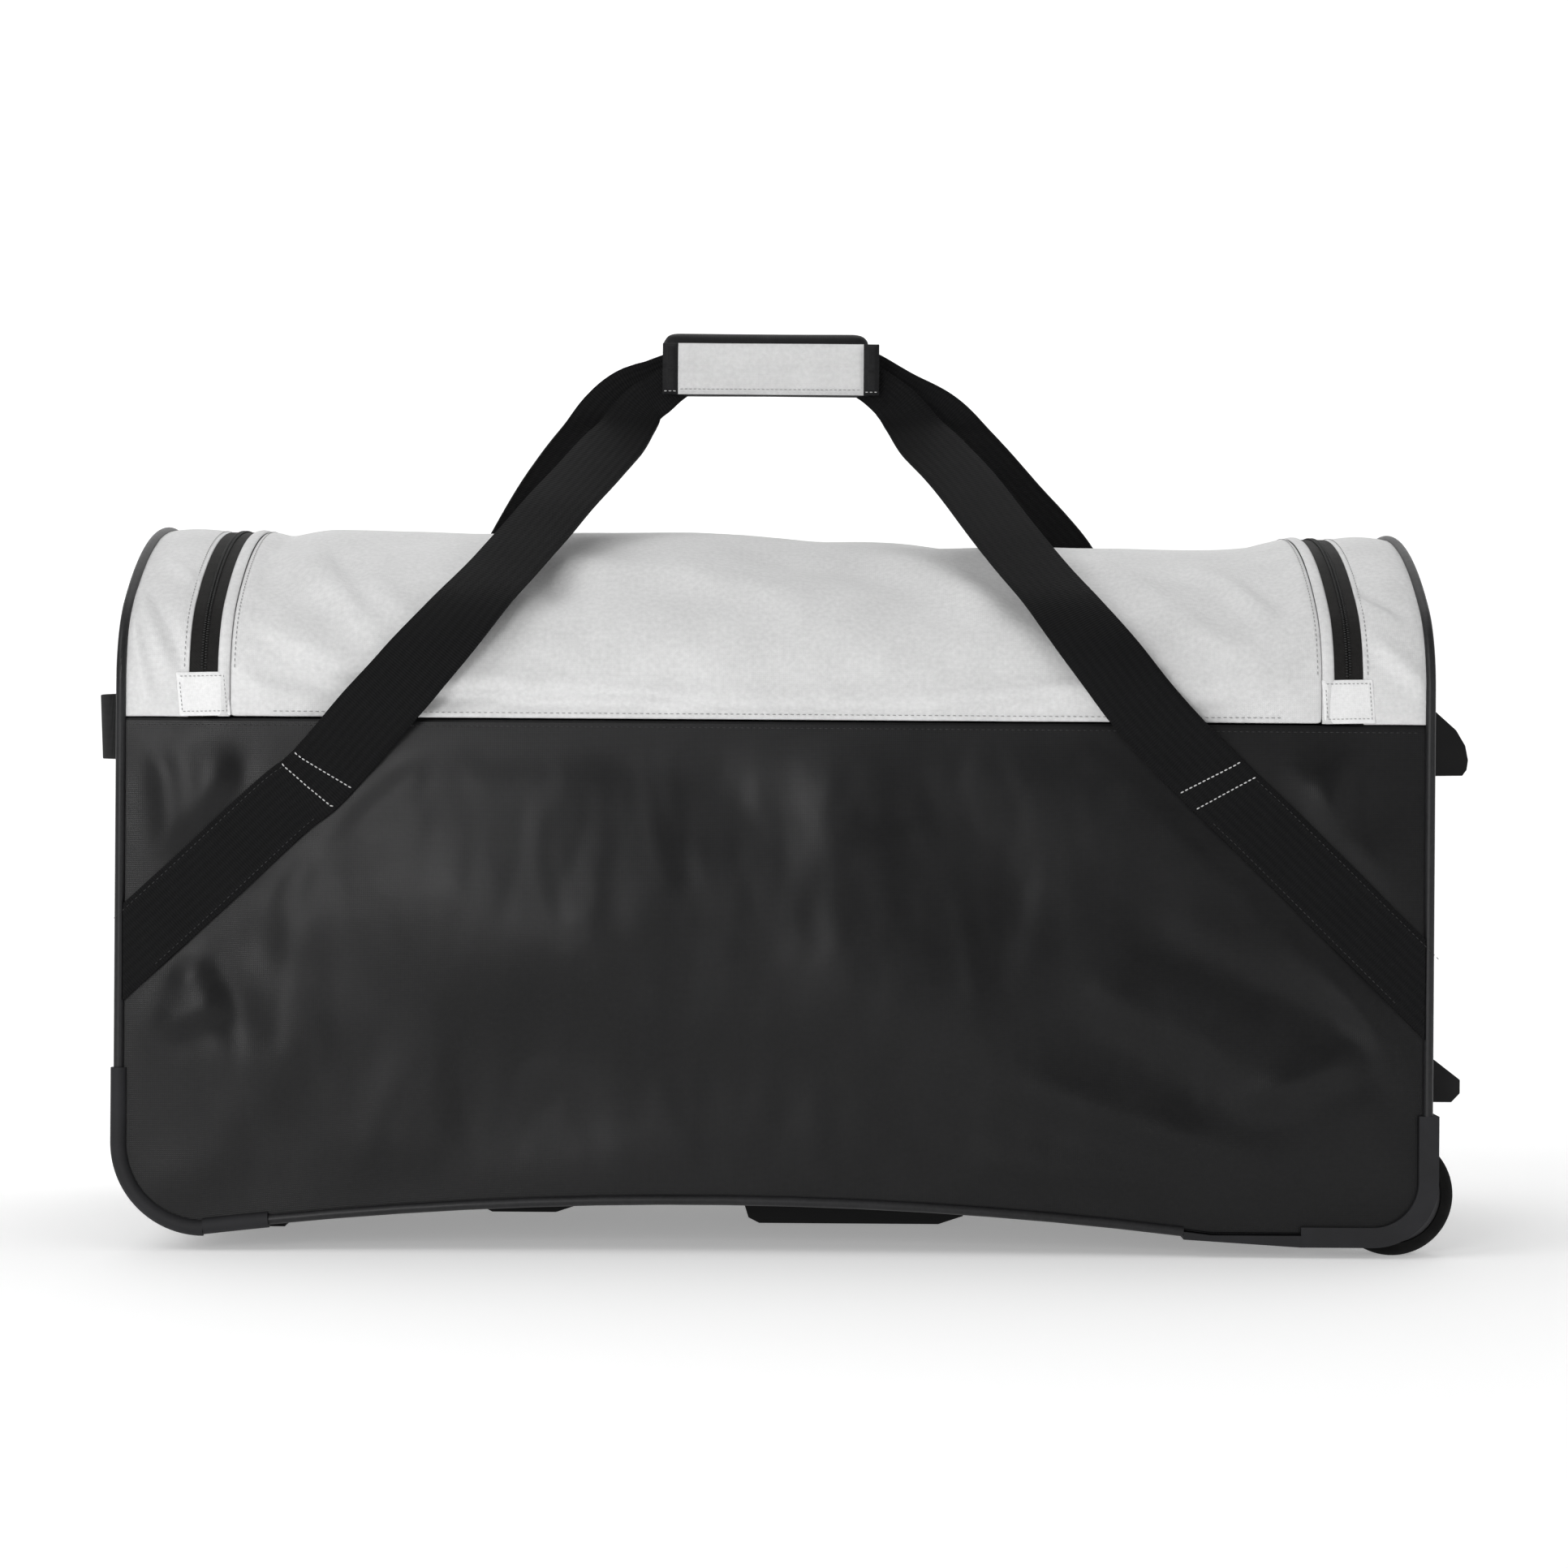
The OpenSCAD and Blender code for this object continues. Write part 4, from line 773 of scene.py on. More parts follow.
class BAG_OT_ends(bpy.types.Operator):
    """Cuts the two black end panels and the base"""

    bl_idname = "bag.ends"
    bl_label = "End panels and base"

    def execute(self, context):
        for end, label, r in ((-1, "handle", HANDLE_CORNER), (1, "wheel", WHEEL_CORNER)):
            low = BASE_Z + r

            def place(u, v):
                top = self.crown_height(u)
                z = low + (top - low) * v
                held = smooth(min(1.0, (HALF_W - abs(u)) / 0.03, (top - z) / 0.03,
                                  (z - low + 0.02) / 0.03))
                soft = 1.0 if end < 0 else 0.45
                out = ripple(u, z, 50.0 + end, 0.14, 0.0035) * soft
                out += 0.0035 * soft * math.sin(math.pi * v) + ripple(u, z, 60.0, 0.03, 0.0006)
                return Vector((end * (HALF_L + max(-0.0015, out) * held), u, z))

            obj = cloth(f"{label}_end_cloth", spaced(-HALF_W, HALF_W, 96), spaced(0.0, 1.0, 96),
                        place, lambda co: Vector((end, 0, 0)), "black_end_fabric",
                        drop=well_gap if end > 0 else None)
            lay_weave(obj, lambda co: (co.y, co.z))
            finish_cloth(obj, settings().cloth_thickness)
            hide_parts(f"{label}_end_panel")
            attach(obj, "bag")

        turn = spaced(0.0, math.pi / 2, 16)
        path = [(-HALF_L + HANDLE_CORNER * (1 - math.cos(a)),
                 BASE_Z + HANDLE_CORNER * (1 - math.sin(a))) for a in turn]
        path += [(x, base_at(x))
                 for x in spaced(-HALF_L + HANDLE_CORNER, HALF_L - WHEEL_CORNER, 110)[1:]]
        path += [(HALF_L - WHEEL_CORNER * (1 - math.sin(a)),
                  BASE_Z + WHEEL_CORNER * (1 - math.cos(a))) for a in turn[1:]]

        def base_place(u, v):
            x, z = path[int(round(u))]
            sag = 0.0015 * math.sin(x * 31.0) * math.sin(v * 22.0 + 1.0)
            held = smooth((HALF_W - abs(v)) / 0.03)
            return Vector((x, v, z + sag * held if abs(x) < 0.36 else z))

        obj = cloth("base_cloth", [float(i) for i in range(len(path))],
                    spaced(-HALF_W, HALF_W, 44), base_place, lambda co: Vector((0, 0, -1)),
                    "black_end_fabric", drop=well_gap)
        lay_weave(obj, lambda co: (co.x, co.y))
        finish_cloth(obj, settings().cloth_thickness)
        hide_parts("base_panel")
        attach(obj, "bag")
        return {"FINISHED"}

    @staticmethod
    def crown_height(y):
        """Height of the crown's outside at distance y from the middle."""
        y = abs(y)
        if y < CROWN_R * math.cos(SHOULDER_A):
            return CROWN_C + math.sqrt(CROWN_R**2 - y * y)
        return SHOULDER_Z + math.sqrt(max(0.0, SHOULDER_R**2 - (y - SHOULDER_Y) ** 2))


# Zips and tabs ----------------------------------------------------------------


# Half width and height of a white tab
TAB_HALF, TAB_HEIGHT = 0.018, 0.031
# Pitch of the coil, and half sizes of one turn of it: along, across and out
COIL_PITCH, TURN = 0.0020, (0.0007, 0.0013, 0.0009)


def dressed(nodes, material, rounded=False):
    """Gives CAD nodes that keep their own shape a finished material."""
    for n in nodes:
        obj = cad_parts[n]
        obj.data.materials.clear()
        obj.data.materials.append(MATERIALS[material])
        for polygon in obj.data.polygons:
            polygon.use_smooth = rounded


class BAG_OT_zips(bpy.types.Operator):
    """Fits the zip tapes, the coil's teeth, the sliders and the white end tabs"""

    bl_idname = "bag.zips"
    bl_label = "Zips and tabs"

    def execute(self, context):
        dressed(["body_zip_tape", "lid_zip_tape"], "zip_tape")
        dressed(["left_slider", "right_slider", "left_puller", "right_puller"], "slider_metal")
        zip_x = (LID_X + GUSSET_X) / 2
        start, top = 0.034, CROWN_LEN - (ZIP_Z - SEAM_Z)
        for body, node, sign in (("lid", "lid_zip_coil", -1), ("bag", "body_zip_coil", 1)):
            bm = bmesh.new()
            at, shift = start, 0.0 if sign < 0 else COIL_PITCH / 2
            while at < top - 0.003:
                y, z, ny, nz = crown_at(at + shift)
                out, along = Vector((0, ny, nz)), Vector((0, nz, -ny))
                for end in (-1, 1):
                    centre = Vector((end * (zip_x + sign * 0.0011), y, z)) + out * 0.0004
                    self.tooth(bm, centre, along, Vector((1, 0, 0)), out)
                at += COIL_PITCH
            x = -zip_x + 0.004
            while x < zip_x - 0.004:
                centre = Vector((x + shift, HALF_W + 0.0003, ZIP_Z - sign * 0.0011))
                self.tooth(bm, centre, Vector((1, 0, 0)), Vector((0, 0, 1)), Vector((0, 1, 0)))
                x += COIL_PITCH
            coil = piece(f"{body}_coil_teeth", bm, "zip_coil")
            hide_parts(node)
            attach(coil, body)
        self.tabs()
        return {"FINISHED"}

    @staticmethod
    def tooth(bm, centre, along, across, out):
        """One turn of the coil."""
        made = bmesh.ops.create_icosphere(bm, subdivisions=1, radius=1.0)
        for v in made["verts"]:
            v.co = (centre + along * v.co.x * TURN[0] + across * v.co.y * TURN[1]
                    + out * v.co.z * TURN[2])

    @staticmethod
    def tabs():
        """White tabs over the foot of each end zip, sewn on a little askew."""
        low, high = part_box("zip_end_tabs")
        middle, span = (low.x + high.x) / 2, high.x - TAB_HALF
        for index, (end, side, skew) in enumerate(((-1, -1, 0.10), (1, -1, 0.07), (-1, 1, -0.05),
                                                   (1, 1, 0.06))):
            centre = middle + end * span
            # behind, the tab stays above the path of the slider
            rise = 0.017 if side > 0 else 0.0

            def place(u, v, lift=0.0012):
                slant = skew * (TAB_HEIGHT / 2 - v)
                edge = min(TAB_HALF - abs(u), v + 0.001, TAB_HEIGHT - v)
                out = lift + 0.0006 * smooth(edge / 0.004) + 0.0003 * math.sin(u * 300 + index)
                at = on_crown(centre + u + slant, max(0.0, v + rise + 0.0006 + u * 0.02), out)
                return Vector((at.x, -side * at.y, at.z))

            obj = cloth(f"zip_tab_{index + 1}", spaced(-TAB_HALF, TAB_HALF, 18),
                        spaced(0.0, TAB_HEIGHT, 16), place, lambda co: Vector((0, side, 0)),
                        "white_fabric")
            finish_cloth(obj, 0.0011, 1)
            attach(obj, "lid")
            if index == 0:
                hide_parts("zip_end_tabs")
            reach = TAB_HALF - 0.0025
            ring = [(-reach, 0.028), (reach, 0.028), (reach, 0.0035), (-reach, 0.0035),
                    (-reach, 0.028)]
            points = [place(u, v, 0.0016) for u, v in walk(ring, 12)]
            row = stitches(f"zip_tab_{index + 1}_stitches", points, Vector((0, side, 0)), "tab")
            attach(row, "lid")


# Straps -----------------------------------------------------------------------


def strap_profile(handle_y, top_z):
    """Side view of a strap from its fold up to the wrap: points every 2 mm, corners eased."""
    r = SHOULDER_R + STRAP_GAP + STRAP_T / 2
    turn = (handle_y, NEAR_WRAP_LOW.z - 0.016)
    vy, vz = turn[0] - SHOULDER_Y, turn[1] - SHOULDER_Z
    stop = math.atan2(vz, vy) - math.acos(r / math.hypot(vy, vz))
    knots = [(STRAP_Y, STRAP_FOLD_Z - 0.25), (STRAP_Y, STRAP_FOLD_Z), (SHOULDER_Y + r, SEAM_Z),
             (SHOULDER_Y + r, SHOULDER_Z)]
    knots += [(SHOULDER_Y + r * math.cos(stop * i / 16), SHOULDER_Z + r * math.sin(stop * i / 16))
              for i in range(1, 17)]
    knots += [turn, (handle_y, top_z)]
    points = []
    for (y0, z0), (y1, z1) in zip(knots, knots[1:]):
        n = max(1, round(math.hypot(y1 - y0, z1 - z0) / 0.002))
        points += [(y0 + (y1 - y0) * i / n, z0 + (z1 - z0) * i / n) for i in range(n)]
    points.append(knots[-1])
    for _ in range(24):
        points = [points[0]] + [
            ((a[0] + 2 * b[0] + c[0]) / 4, (a[1] + 2 * b[1] + c[1]) / 4)
            for a, b, c in zip(points, points[1:], points[2:])] + [points[-1]]
    return points


# Clearance of a loose strap from the lid's shoulder
STRAP_GAP = 0.012
# Points along one leg of a strap, and along the end handle
LEG_STEPS, HANDLE_STEPS = 190, 150


class Track:
    """Surface swept along the bag from a strap's side view, measured along that view."""

    def __init__(self, handle_y, top_z, side):
        self.side = side
        self.points = strap_profile(handle_y, top_z)
        self.run = [0.0]
        for a, b in zip(self.points, self.points[1:]):
            self.run.append(self.run[-1] + math.hypot(b[0] - a[0], b[1] - a[1]))
        zero = next(i for i, p in enumerate(self.points) if p[1] > STRAP_FOLD_Z)
        base = self.run[zero]
        self.run = [r - base for r in self.run]

    def at(self, s):
        """(y, z) and the outward direction (ny, nz)."""
        lo, hi = 0, len(self.run) - 1
        while hi - lo > 1:
            mid = (lo + hi) // 2
            lo, hi = (mid, hi) if self.run[mid] <= s else (lo, mid)
        t = (s - self.run[lo]) / max(1e-9, self.run[hi] - self.run[lo])
        a, b = self.points[lo], self.points[hi]
        dy, dz = b[0] - a[0], b[1] - a[1]
        long = math.hypot(dy, dz)
        return (self.side * (a[0] + dy * t), a[1] + dz * t, self.side * dz / long, -dy / long)

    def along(self, z):
        """Distance along the view at which the strap is at height z."""
        for i, (a, b) in enumerate(zip(self.points, self.points[1:])):
            if a[1] <= z <= b[1] and b[1] > a[1]:
                return self.run[i] + (self.run[i + 1] - self.run[i]) * (z - a[1]) / (b[1] - a[1])
        return self.run[-1] if z > 0.4 else self.run[0]


def eased(points, n):
    """n + 1 evenly spaced points on a smooth curve through a few, and the curve's length."""
    dense = []
    for i in range(len(points) - 1):
        p = [points[max(0, i - 1)], points[i], points[i + 1], points[min(len(points) - 1, i + 2)]]
        for k in range(24):
            t = k / 24
            dense.append(tuple(
                0.5 * (2 * p[1][c] + (p[2][c] - p[0][c]) * t
                       + (2 * p[0][c] - 5 * p[1][c] + 4 * p[2][c] - p[3][c]) * t * t
                       + (3 * p[1][c] - p[0][c] - 3 * p[2][c] + p[3][c]) * t**3)
                for c in (0, 1)))
    dense.append(points[-1])
    run = [0.0]
    for a, b in zip(dense, dense[1:]):
        run.append(run[-1] + math.hypot(b[0] - a[0], b[1] - a[1]))
    out, j = [], 0
    for k in range(n + 1):
        want = run[-1] * k / n
        while j < len(run) - 2 and run[j + 1] < want:
            j += 1
        t = (want - run[j]) / max(1e-9, run[j + 1] - run[j])
        out.append(tuple(dense[j][c] + (dense[j + 1][c] - dense[j][c]) * t for c in (0, 1)))
    return out, run[-1]


def on_line(middle, length, u):
    """Point u metres along an eased line, and the step of the line there."""
    n = len(middle) - 1
    k = min(n - 1, max(0, int(u / length * n)))
    t = u / length * n - k
    (x0, y0), (x1, y1) = middle[k], middle[k + 1]
    return x0 + (x1 - x0) * t, y0 + (y1 - y0) * t, x1 - x0, y1 - y0


def walk(corners, n):
    """Points along the straight runs between corners, n to a run."""
    return [(a + (c - a) * t, b + (d - b) * t)
            for (a, b), (c, d) in zip(corners, corners[1:]) for t in spaced(0.0, 1.0, n)[:-1]]


class BAG_OT_straps(bpy.types.Operator):
    """Lays the carrying straps from their sewn tails over the lid's shoulders to the wraps"""

    bl_idname = "bag.straps"
    bl_label = "Carrying straps"

    def execute(self, context):
        half = settings().strap_width / 2
        for label, side, handle_y, top, tails, seed in (
                ("near", -1, 0.0135, NEAR_WRAP_HIGH.z, "hinge_side_strap_tails", 1.0),
                ("far", 1, 0.0125, FAR_WRAP_HIGH.z, "zip_side_strap_tails", 5.0)):
            track = Track(handle_y, top - 0.004, side)
            for index, line in enumerate(STRAP_LINES[side]):
                flat = [(x, track.along(z) if z >= STRAP_FOLD_Z else z - STRAP_FOLD_Z)
                        for x, z in line]
                middle, length = eased(flat, LEG_STEPS)

                def place(u, v, lift=0.0):
                    cx, cs, dx, ds = on_line(middle, length, u)
                    step = math.hypot(dx, ds)
                    v = v * (1 - 0.42 * smooth((0.125 - (length - u)) / 0.085))
                    x, s = cx - ds / step * v, cs + dx / step * v
                    y, z, ny, nz = track.at(s)
                    loose = smooth((s - 0.015) / 0.06)
                    near_wrap = smooth((0.10 - (length - u)) / 0.08)
                    out = lift + loose * (ripple(u, v * 0.4, seed + index, 0.10, 0.0016)
                                          + 0.0012 * math.cos(v / half * 1.4))
                    out -= loose * near_wrap * 0.003 * (v / half) ** 2
                    if s < 0.012:
                        out += 0.0012 + 0.0004 * math.sin(u * 90)
                    return Vector((x, y + ny * out, z + nz * out))

                name = f"{label}_strap_{'left' if index == 0 else 'right'}"
                obj = cloth(name, spaced(0.0, length, LEG_STEPS), spaced(-half, half, 10), place,
                            lambda co: Vector((0, side, 0.3)), "webbing",
                            trim=(math.copysign(HALF_L - 0.003, line[0][0]),))
                finish_webbing(obj, 0.0021, offset=0.0)
                if index == 0:
                    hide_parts(f"{label}_strap", tails)
                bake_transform(obj)
                fold_u = next(i for i, m in enumerate(middle) if m[1] > 0.0) / LEG_STEPS * length
                for row in self.white_rows(name, place, half, fold_u, side,
                                           -0.18 if index == 0 else 0.30):
                    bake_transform(row)
                for row in self.edge_rows(name, place, half, fold_u, side):
                    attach(row, "bag")
        return {"FINISHED"}

    @staticmethod
    def white_rows(name, place, half, fold_u, side, skew):
        """Two rows of white stitches across the strap, just below its fold."""
        for row, back in enumerate((0.0, 0.0158)):
            points = [place(fold_u - back + skew * v, v, 0.0014)
                      for v in spaced(-half + 0.002, half - 0.002, 24)]
            yield stitches(f"{name}_white_row_{row + 1}", points, Vector((0, side, 0)),
                           "strap fold")

    @staticmethod
    def edge_rows(name, place, half, fold_u, side):
        """One dark row of stitches along each edge of the sewn tail."""
        for edge in (-1, 1):
            points = [place(u, edge * (half - 0.0035), 0.0012)
                      for u in spaced(0.072, fold_u - 0.022, 60)]
            yield stitches(f"{name}_edge_row_{'a' if edge < 0 else 'b'}", points,
                           Vector((0, side, 0)), "strap edge")


class BAG_OT_wraps(bpy.types.Operator):
    """Stuffs the two halves of the handle wrap and sews on the grey face and its bindings"""

    bl_idname = "bag.wraps"
    bl_label = "Handle wrap"

    def execute(self, context):
        for label, low, high in (("near", NEAR_WRAP_LOW, NEAR_WRAP_HIGH),
                                 ("far", FAR_WRAP_LOW, FAR_WRAP_HIGH)):
            obj = self.pad(f"{label}_wrap_pad", low, high)
            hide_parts(f"{label}_wrap")
            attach(obj, f"{label}_strap_loop")
        self.face()
        dressed(["near_wrap_hook_strip", "far_wrap_loop_strip"], "hook_and_loop")
        return {"FINISHED"}

    @staticmethod
    def pad(name, low, high):
        """Stuffed block: a rounded bar, swollen by pressure and held to its box."""
        inset, corner, mesh_size, gap = 0.0015, 0.0085, 0.0042, 0.0002
        size = high - low - Vector((inset, inset, inset)) * 2
        bm = bmesh.new()
        bmesh.ops.create_cube(bm, size=1.0)
        bmesh.ops.scale(bm, verts=bm.verts[:], vec=size)
        bmesh.ops.translate(bm, verts=bm.verts[:], vec=(low + high) / 2)
        bmesh.ops.bevel(bm, geom=bm.edges[:], offset=corner, segments=4, profile=0.5,
                        affect="EDGES", material=-1)
        obj = piece(name, bm, "wrap_pad")
        remesh = obj.modifiers.new("Even mesh", "REMESH")
        remesh.mode, remesh.voxel_size = "VOXEL", mesh_size
        graph = bpy.context.evaluated_depsgraph_get()
        made = bpy.data.meshes.new_from_object(obj.evaluated_get(graph))
        obj.modifiers.clear()
        obj.data = made
        obj.data.name = name
        if not made.materials:
            made.materials.append(MATERIALS["wrap_pad"])
        for polygon in made.polygons:
            polygon.use_smooth = True
        settle(obj, 20, 0.0, 0.004, lambda co: 0.0, stiff=12.0, gravity=0.0, pressure=4.0)
        for v in obj.data.vertices:
            for axis in range(3):
                v.co[axis] = min(high[axis] - gap, max(low[axis] + gap, v.co[axis]))
            crease = ripple(v.co.x, v.co.z, 70.0, 0.03, 0.0007)
            v.co.y += crease * (1 if v.co.y > (low.y + high.y) / 2 else -1) * 0.3
        sub = obj.modifiers.new("Smooth", "SUBSURF")
        sub.levels = sub.render_levels = 1
        # the remesh removed the weave's own layout
        lay_weave(obj, lambda co: (co.x, co.z + co.y))
        return obj

    @staticmethod
    def face():
        """Grey face of the near half, its two black bindings and their stitches."""
        low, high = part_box("near_wrap_face")
        bind_low, bind_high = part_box("near_wrap_bindings")
        front = bind_low.y

        rows = spaced(low.z - 0.001, high.z + 0.001, 30)

        def bulge(x, z):
            across = (z - (low.z + high.z) / 2) / (high.z - low.z) * 2
            crease = -0.0011 * math.exp(-((across / 0.10) ** 2))
            return 0.0022 * (1 - across * across) + crease + ripple(x, z, 77.0, 0.04, 0.0006)

        def round_edges(x, z, x0, x1, r=0.004):
            near = min(x - x0, x1 - x, z - low.z + 0.001, high.z + 0.001 - z)
            return 0.0018 * smooth(near / r)

        def face_place(u, v):
            return Vector((u, front - bulge(u, v) - round_edges(u, v, low.x, high.x) + 0.0035, v))

        obj = cloth("near_wrap_face_cloth", spaced(low.x, high.x, 80), rows, face_place,
                    lambda co: Vector((0, -1, 0)), "wrap_face")
        finish_cloth(obj, 0.0012)
        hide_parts("near_wrap_face")
        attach(obj, "near_strap_loop")
        for index, (x0, x1) in enumerate(((bind_low.x, low.x + 0.001),
                                          (high.x - 0.001, bind_high.x))):
            def bind_place(u, v):
                return Vector((u, front - bulge(u, v) - round_edges(u, v, x0, x1) + 0.0030, v))

            bind = cloth(f"near_wrap_binding_{index + 1}", spaced(x0, x1, 12), rows, bind_place,
                         lambda co: Vector((0, -1, 0)), "wrap_pad")
            finish_cloth(bind, 0.0012)
            if index == 0:
                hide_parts("near_wrap_bindings")
            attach(bind, "near_strap_loop")
            points = [bind_place(u, low.z + 0.0015) + Vector((0, -0.0004, 0))
                      for u in spaced(x0 + 0.001, x1 - 0.001, 10)]
            row = stitches(f"near_wrap_binding_{index + 1}_stitches", points,
                           Vector((0, -1, 0)), "binding")
            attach(row, "near_strap_loop")
        points = [face_place(u, low.z + 0.003) + Vector((0, -0.0003, 0))
                  for u in spaced(low.x + 0.002, high.x - 0.002, 80)]
        row = stitches("near_wrap_face_stitches", points, Vector((0, -1, 0)), "wrap face")
        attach(row, "near_strap_loop")


class BAG_OT_end_handle(bpy.types.Operator):
    """Loops the webbing handle on the end panel and sews down its two ends"""

    bl_idname = "bag.end_handle"
    bl_label = "End webbing handle"

    def execute(self, context):
        low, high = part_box("end_grab_handle")
        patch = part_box("grab_handle_patches")
        reach, span, foot = -HALF_L - low.x, high.y, patch[1].y
        line = [(-HALF_L - 0.0012, -foot), (-HALF_L - 0.0012, -span - 0.004)]
        line += [(-HALF_L - reach * 0.30, -span * 0.80), (-HALF_L - reach * 0.72, -span * 0.52),
                 (-HALF_L - reach * 0.93, -span * 0.26), (-HALF_L - reach * 0.965, 0.0)]
        line += [(x, -y) for x, y in reversed(line[:-1])]
        middle, length = eased(line, HANDLE_STEPS)

        def place(u, v):
            x, y, _, _ = on_line(middle, length, u)
            out = smooth((-HALF_L - x - 0.002) / 0.03)
            tilt = 0.04 * (v - low.z - 0.024) * out
            droop = -0.0015 * out
            return Vector((x - tilt, y, v + droop))

        obj = cloth("end_webbing_handle", spaced(0.0, length, HANDLE_STEPS),
                    spaced(low.z, high.z, 8), place, lambda co: Vector((-1, 0, 0)), "webbing")
        finish_webbing(obj, 0.0023)
        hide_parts("end_grab_handle", "grab_handle_patches")
        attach(obj, "bag")
        for sign in (-1, 1):
            ring = [(span + 0.008, low.z + 0.005), (foot - 0.004, low.z + 0.005),
                    (foot - 0.004, high.z - 0.005), (span + 0.008, high.z - 0.005),
                    (span + 0.008, low.z + 0.005), (foot - 0.004, high.z - 0.005)]
            points = [Vector((-HALF_L - 0.0016, sign * y, z)) for y, z in walk(ring, 14)]
            row = stitches(f"end_handle_box_stitch_{'a' if sign < 0 else 'b'}", points,
                           Vector((-1, 0, 0)), "handle box")
            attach(row, "bag")
        return {"FINISHED"}


# Seams, piping and fittings ---------------------------------------------------


class BAG_OT_seams(bpy.types.Operator):
    """Sews the visible rows of stitches along the panel seams"""

    bl_idname = "bag.seams"
    bl_label = "Seams and piping"

    def execute(self, context):
        dressed(["hinge_side_piping", "zip_side_piping", "handle_end_arch_piping",
                 "wheel_end_arch_piping"], "piping")
        for side, label in ((-1, "hinge"), (1, "zip")):
            place = side_place(side)
            points = [place(x, SEAM_Z - 0.0055) + Vector((0, side * 0.0006, 0))
                      for x in spaced(-HALF_L + 0.008, HALF_L - 0.008, 300)]
            row = stitches(f"{label}_side_seam_stitches", points, Vector((0, side, 0)),
                           "side seam")
            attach(row, "bag")
        points = [Vector((x, -HALF_W - 0.0008, SEAM_Z + 0.0045))
                  for x in spaced(-PANEL_X + 0.03, PANEL_X - 0.03, 260)]
        row = stitches("lid_hinge_seam_stitches", points, Vector((0, -1, 0)), "lid seam")
        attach(row, "lid")
        for end, label in ((-1, "handle"), (1, "wheel")):
            for x, body, name, lift in ((PANEL_X - 0.0035, "lid", "lid", 0.0004),
                                        (GUSSET_X + 0.0035, "bag", "gusset", 0.0007)):
                over = spaced(0.034, CROWN_LEN - 0.024, 200)
                points = [on_crown(end * x, s, lift) for s in over]
                normals = [Vector((0, *crown_at(s)[2:])) for s in over]
                row = stitches(f"{label}_end_{name}_stitches", points, normals, "lid seam")
                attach(row, body)
        return {"FINISHED"}


class BAG_OT_fittings(bpy.types.Operator):
    """Finishes the grip, feet, runners, guards, wheel housings and wheels"""

    bl_idname = "bag.fittings"
    bl_label = "Moulded fittings and wheels"

    def execute(self, context):
        bag = [("end_grip", "moulded_black", 1.6), ("hinge_side_stand_foot", "moulded_black", 1.2),
               ("zip_side_stand_foot", "moulded_black", 1.2),
               ("hinge_side_wheel_housing", "moulded_grey", 0.9),
               ("zip_side_wheel_housing", "moulded_grey", 0.9),
               ("hinge_side_runner", "moulded_black", 0.8),
               ("zip_side_runner", "moulded_black", 0.8)]
        for node, material, width in bag:
            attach(softened(f"{node}_moulded", node, material, width), "bag")
        for side in ("near", "far"):
            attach(softened(f"{side}_hub_moulded", f"{side}_hub", "hub", 0.5),
                    f"{side}_wheel")
            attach(softened(f"{side}_tyre_rubber", f"{side}_tyre", "tyre", 0.4, 50),
                    f"{side}_wheel")
            dressed([f"{side}_bearings", f"{side}_spacer"], "bearing_steel")
        dressed(["hinge_side_corner_guard", "zip_side_corner_guard"], "moulded_grey",
                rounded=True)
        dressed(["end_grip_screws", "stand_foot_screws", "housing_screws", "axle_bolts",
                 "axle_nuts", "runner_screws"], "steel")
        dressed(["base_board", "wheel_end_board"], "stiff_board")
        return {"FINISHED"}


# Stage ------------------------------------------------------------------------


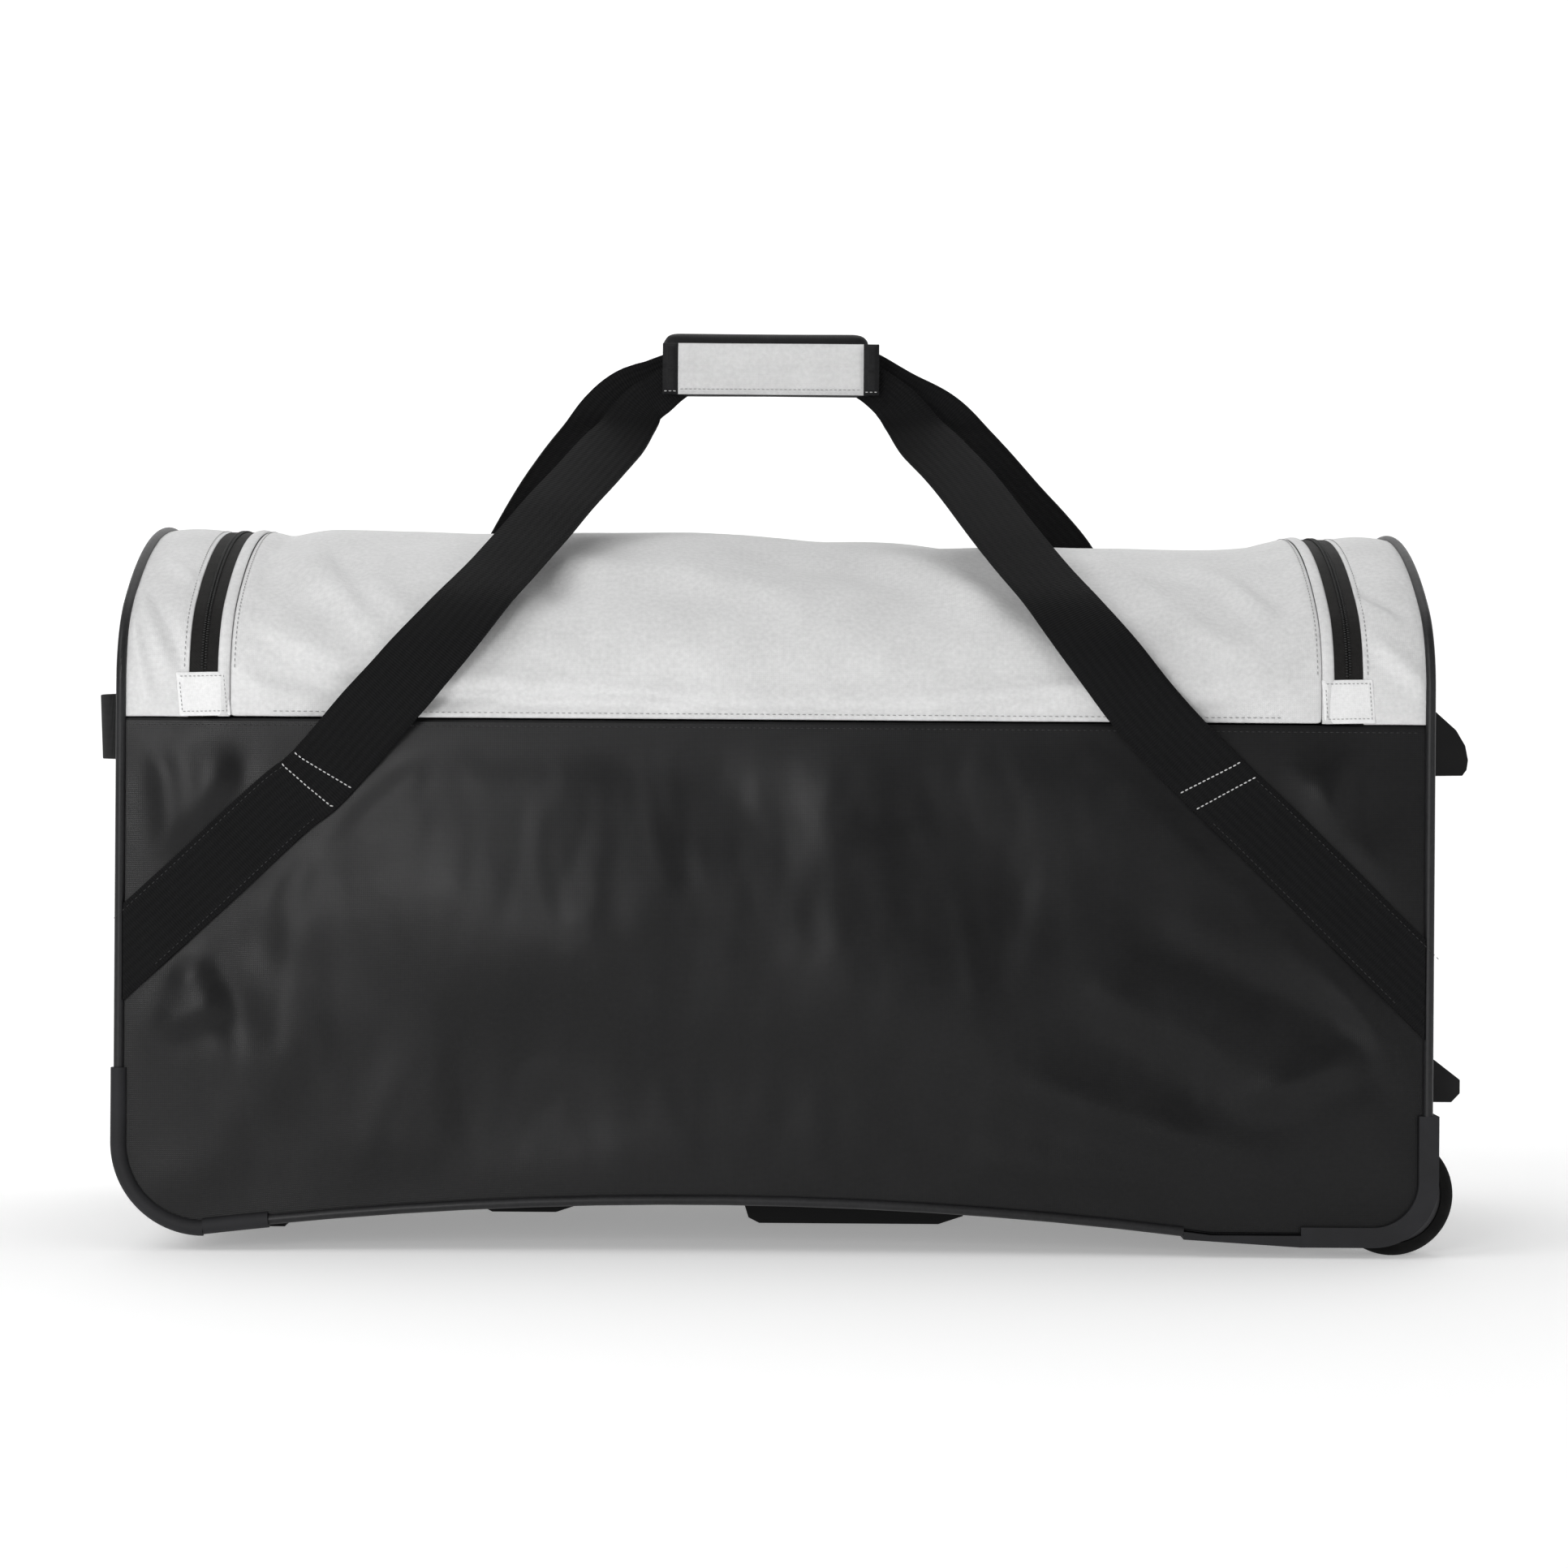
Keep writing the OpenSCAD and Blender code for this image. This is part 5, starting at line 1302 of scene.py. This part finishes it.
class BAG_OT_stage(bpy.types.Operator):
    """Sets the pale floor, the soft studio lights and the camera"""

    bl_idname = "bag.stage"
    bl_label = "Studio"

    def execute(self, context):
        scene = context.scene
        material, tree, shader = new_material("paper sweep, white")
        cloud = add(tree, "TexNoise", {"Scale": 2.0, "Detail": 2.0})
        tree.links.new(colour_between(tree, cloud.outputs["Fac"], "#FAFAFA", "#FCFCFC"),
                       shader.inputs["Base Color"])
        shader.inputs["Roughness"].default_value = 0.9
        shader.inputs["Specular IOR Level"].default_value = 0.1
        shader.inputs["Emission Color"].default_value = (1.0, 1.0, 1.0, 1.0)
        shader.inputs["Emission Strength"].default_value = 0.30
        MATERIALS["floor"] = material
        bm = bmesh.new()
        bmesh.ops.create_grid(bm, x_segments=4, y_segments=60, size=1.0)
        # level floor, then a quarter turn up into the backdrop
        front, level, radius, half_width, half_run = -5.0, 6.5, 1.8, 9.0, 6.0
        for v in bm.verts:
            run = (v.co.y + 1) * half_run
            turn = max(0.0, min(math.pi / 2, (run - level) / radius))
            y = front + min(run, level) + radius * math.sin(turn)
            z = radius * (1 - math.cos(turn)) + max(0.0, run - level - radius * math.pi / 2)
            v.co = (v.co.x * half_width, y, z)
        floor = piece("studio_floor", bm, "floor")

        # name, place and size in metres, power in watts, point aimed at
        for name, place, size, power, aim in (
                ("key", (-2.4, -2.2, 2.7), 1.8, 31.0, (0, 0, 0.3)),
                ("fill", (2.6, -2.6, 1.2), 2.0, 7.0, (0, 0, 0.3)),
                ("top", (0.2, 0.2, 3.2), 2.6, 3.0, (0, 0, 0.3)),
                ("front", (-1.05, -3.0, 0.80), 0.9, 24.0, (-0.15, 0, 0.25)),
                ("sweep", (0.0, 1.4, 3.6), 4.0, 42.0, (0, 2.6, 0.4))):
            light = bpy.data.lights.new(name, "AREA")
            light.shape, light.size, light.energy = "SQUARE", size, power
            obj = bpy.data.objects.new(f"studio_{name}", light)
            scene.collection.objects.link(obj)
            obj.location = place
            obj.rotation_euler = (Vector(aim) - Vector(place)).to_track_quat("-Z", "Y").to_euler()

        world = bpy.data.worlds.new("studio")
        world.use_nodes = True
        back = world.node_tree.nodes["Background"]
        back.inputs["Color"].default_value = (1, 1, 1, 1)
        seen = add(world.node_tree, "LightPath").outputs["Is Camera Ray"]
        strength = add(world.node_tree, "MapRange", {"Value": seen, "To Min": 0.30,
                                                     "To Max": 1.0})
        world.node_tree.links.new(strength.outputs[0], back.inputs["Strength"])
        scene.world = world
        scene.view_settings.view_transform = "Standard"

        # square to the hinge side, at the height of its middle
        lens = bpy.data.cameras.new("view")
        lens.lens, lens.sensor_width = 83.8, 36.0
        camera = bpy.data.objects.new("view", lens)
        scene.collection.objects.link(camera)
        camera.location = (0.006, -2.765, 0.329)
        camera.rotation_euler = (math.pi / 2, math.radians(-0.4), 0)
        scene.camera = camera
        return {"FINISHED"}


class BAG_PT_panel(bpy.types.Panel):
    """Lists the steps that make the bag"""

    bl_idname = "BAG_PT_panel"
    bl_label = "Hockey equipment bag"
    bl_space_type = "VIEW_3D"
    bl_region_type = "UI"
    bl_category = "Bag"

    def draw(self, context):
        column = self.layout.column()
        for key in BagSettings.__annotations__:
            column.prop(context.scene.hockey_bag, key)
        for step in STEPS:
            column.operator(step.bl_idname)


STEPS = (BAG_OT_side_panels, BAG_OT_ends, BAG_OT_lid, BAG_OT_gussets, BAG_OT_zips, BAG_OT_seams,
         BAG_OT_straps, BAG_OT_wraps, BAG_OT_end_handle, BAG_OT_fittings, BAG_OT_stage)
CLASSES = (BagSettings, *STEPS, BAG_PT_panel)
MATERIALS = {}


def register():
    for cls in CLASSES:
        bpy.utils.register_class(cls)
    bpy.types.Scene.hockey_bag = bpy.props.PointerProperty(type=BagSettings)


def unregister():
    del bpy.types.Scene.hockey_bag
    for cls in reversed(CLASSES):
        bpy.utils.unregister_class(cls)


def main():
    register()
    MATERIALS.update(make_materials(settings()))
    for step in STEPS:
        group, name = step.bl_idname.split(".")
        if getattr(getattr(bpy.ops, group), name)() != {"FINISHED"}:
            raise RuntimeError(f"{step.bl_label} did not finish")


if __name__ == "__main__":
    main()
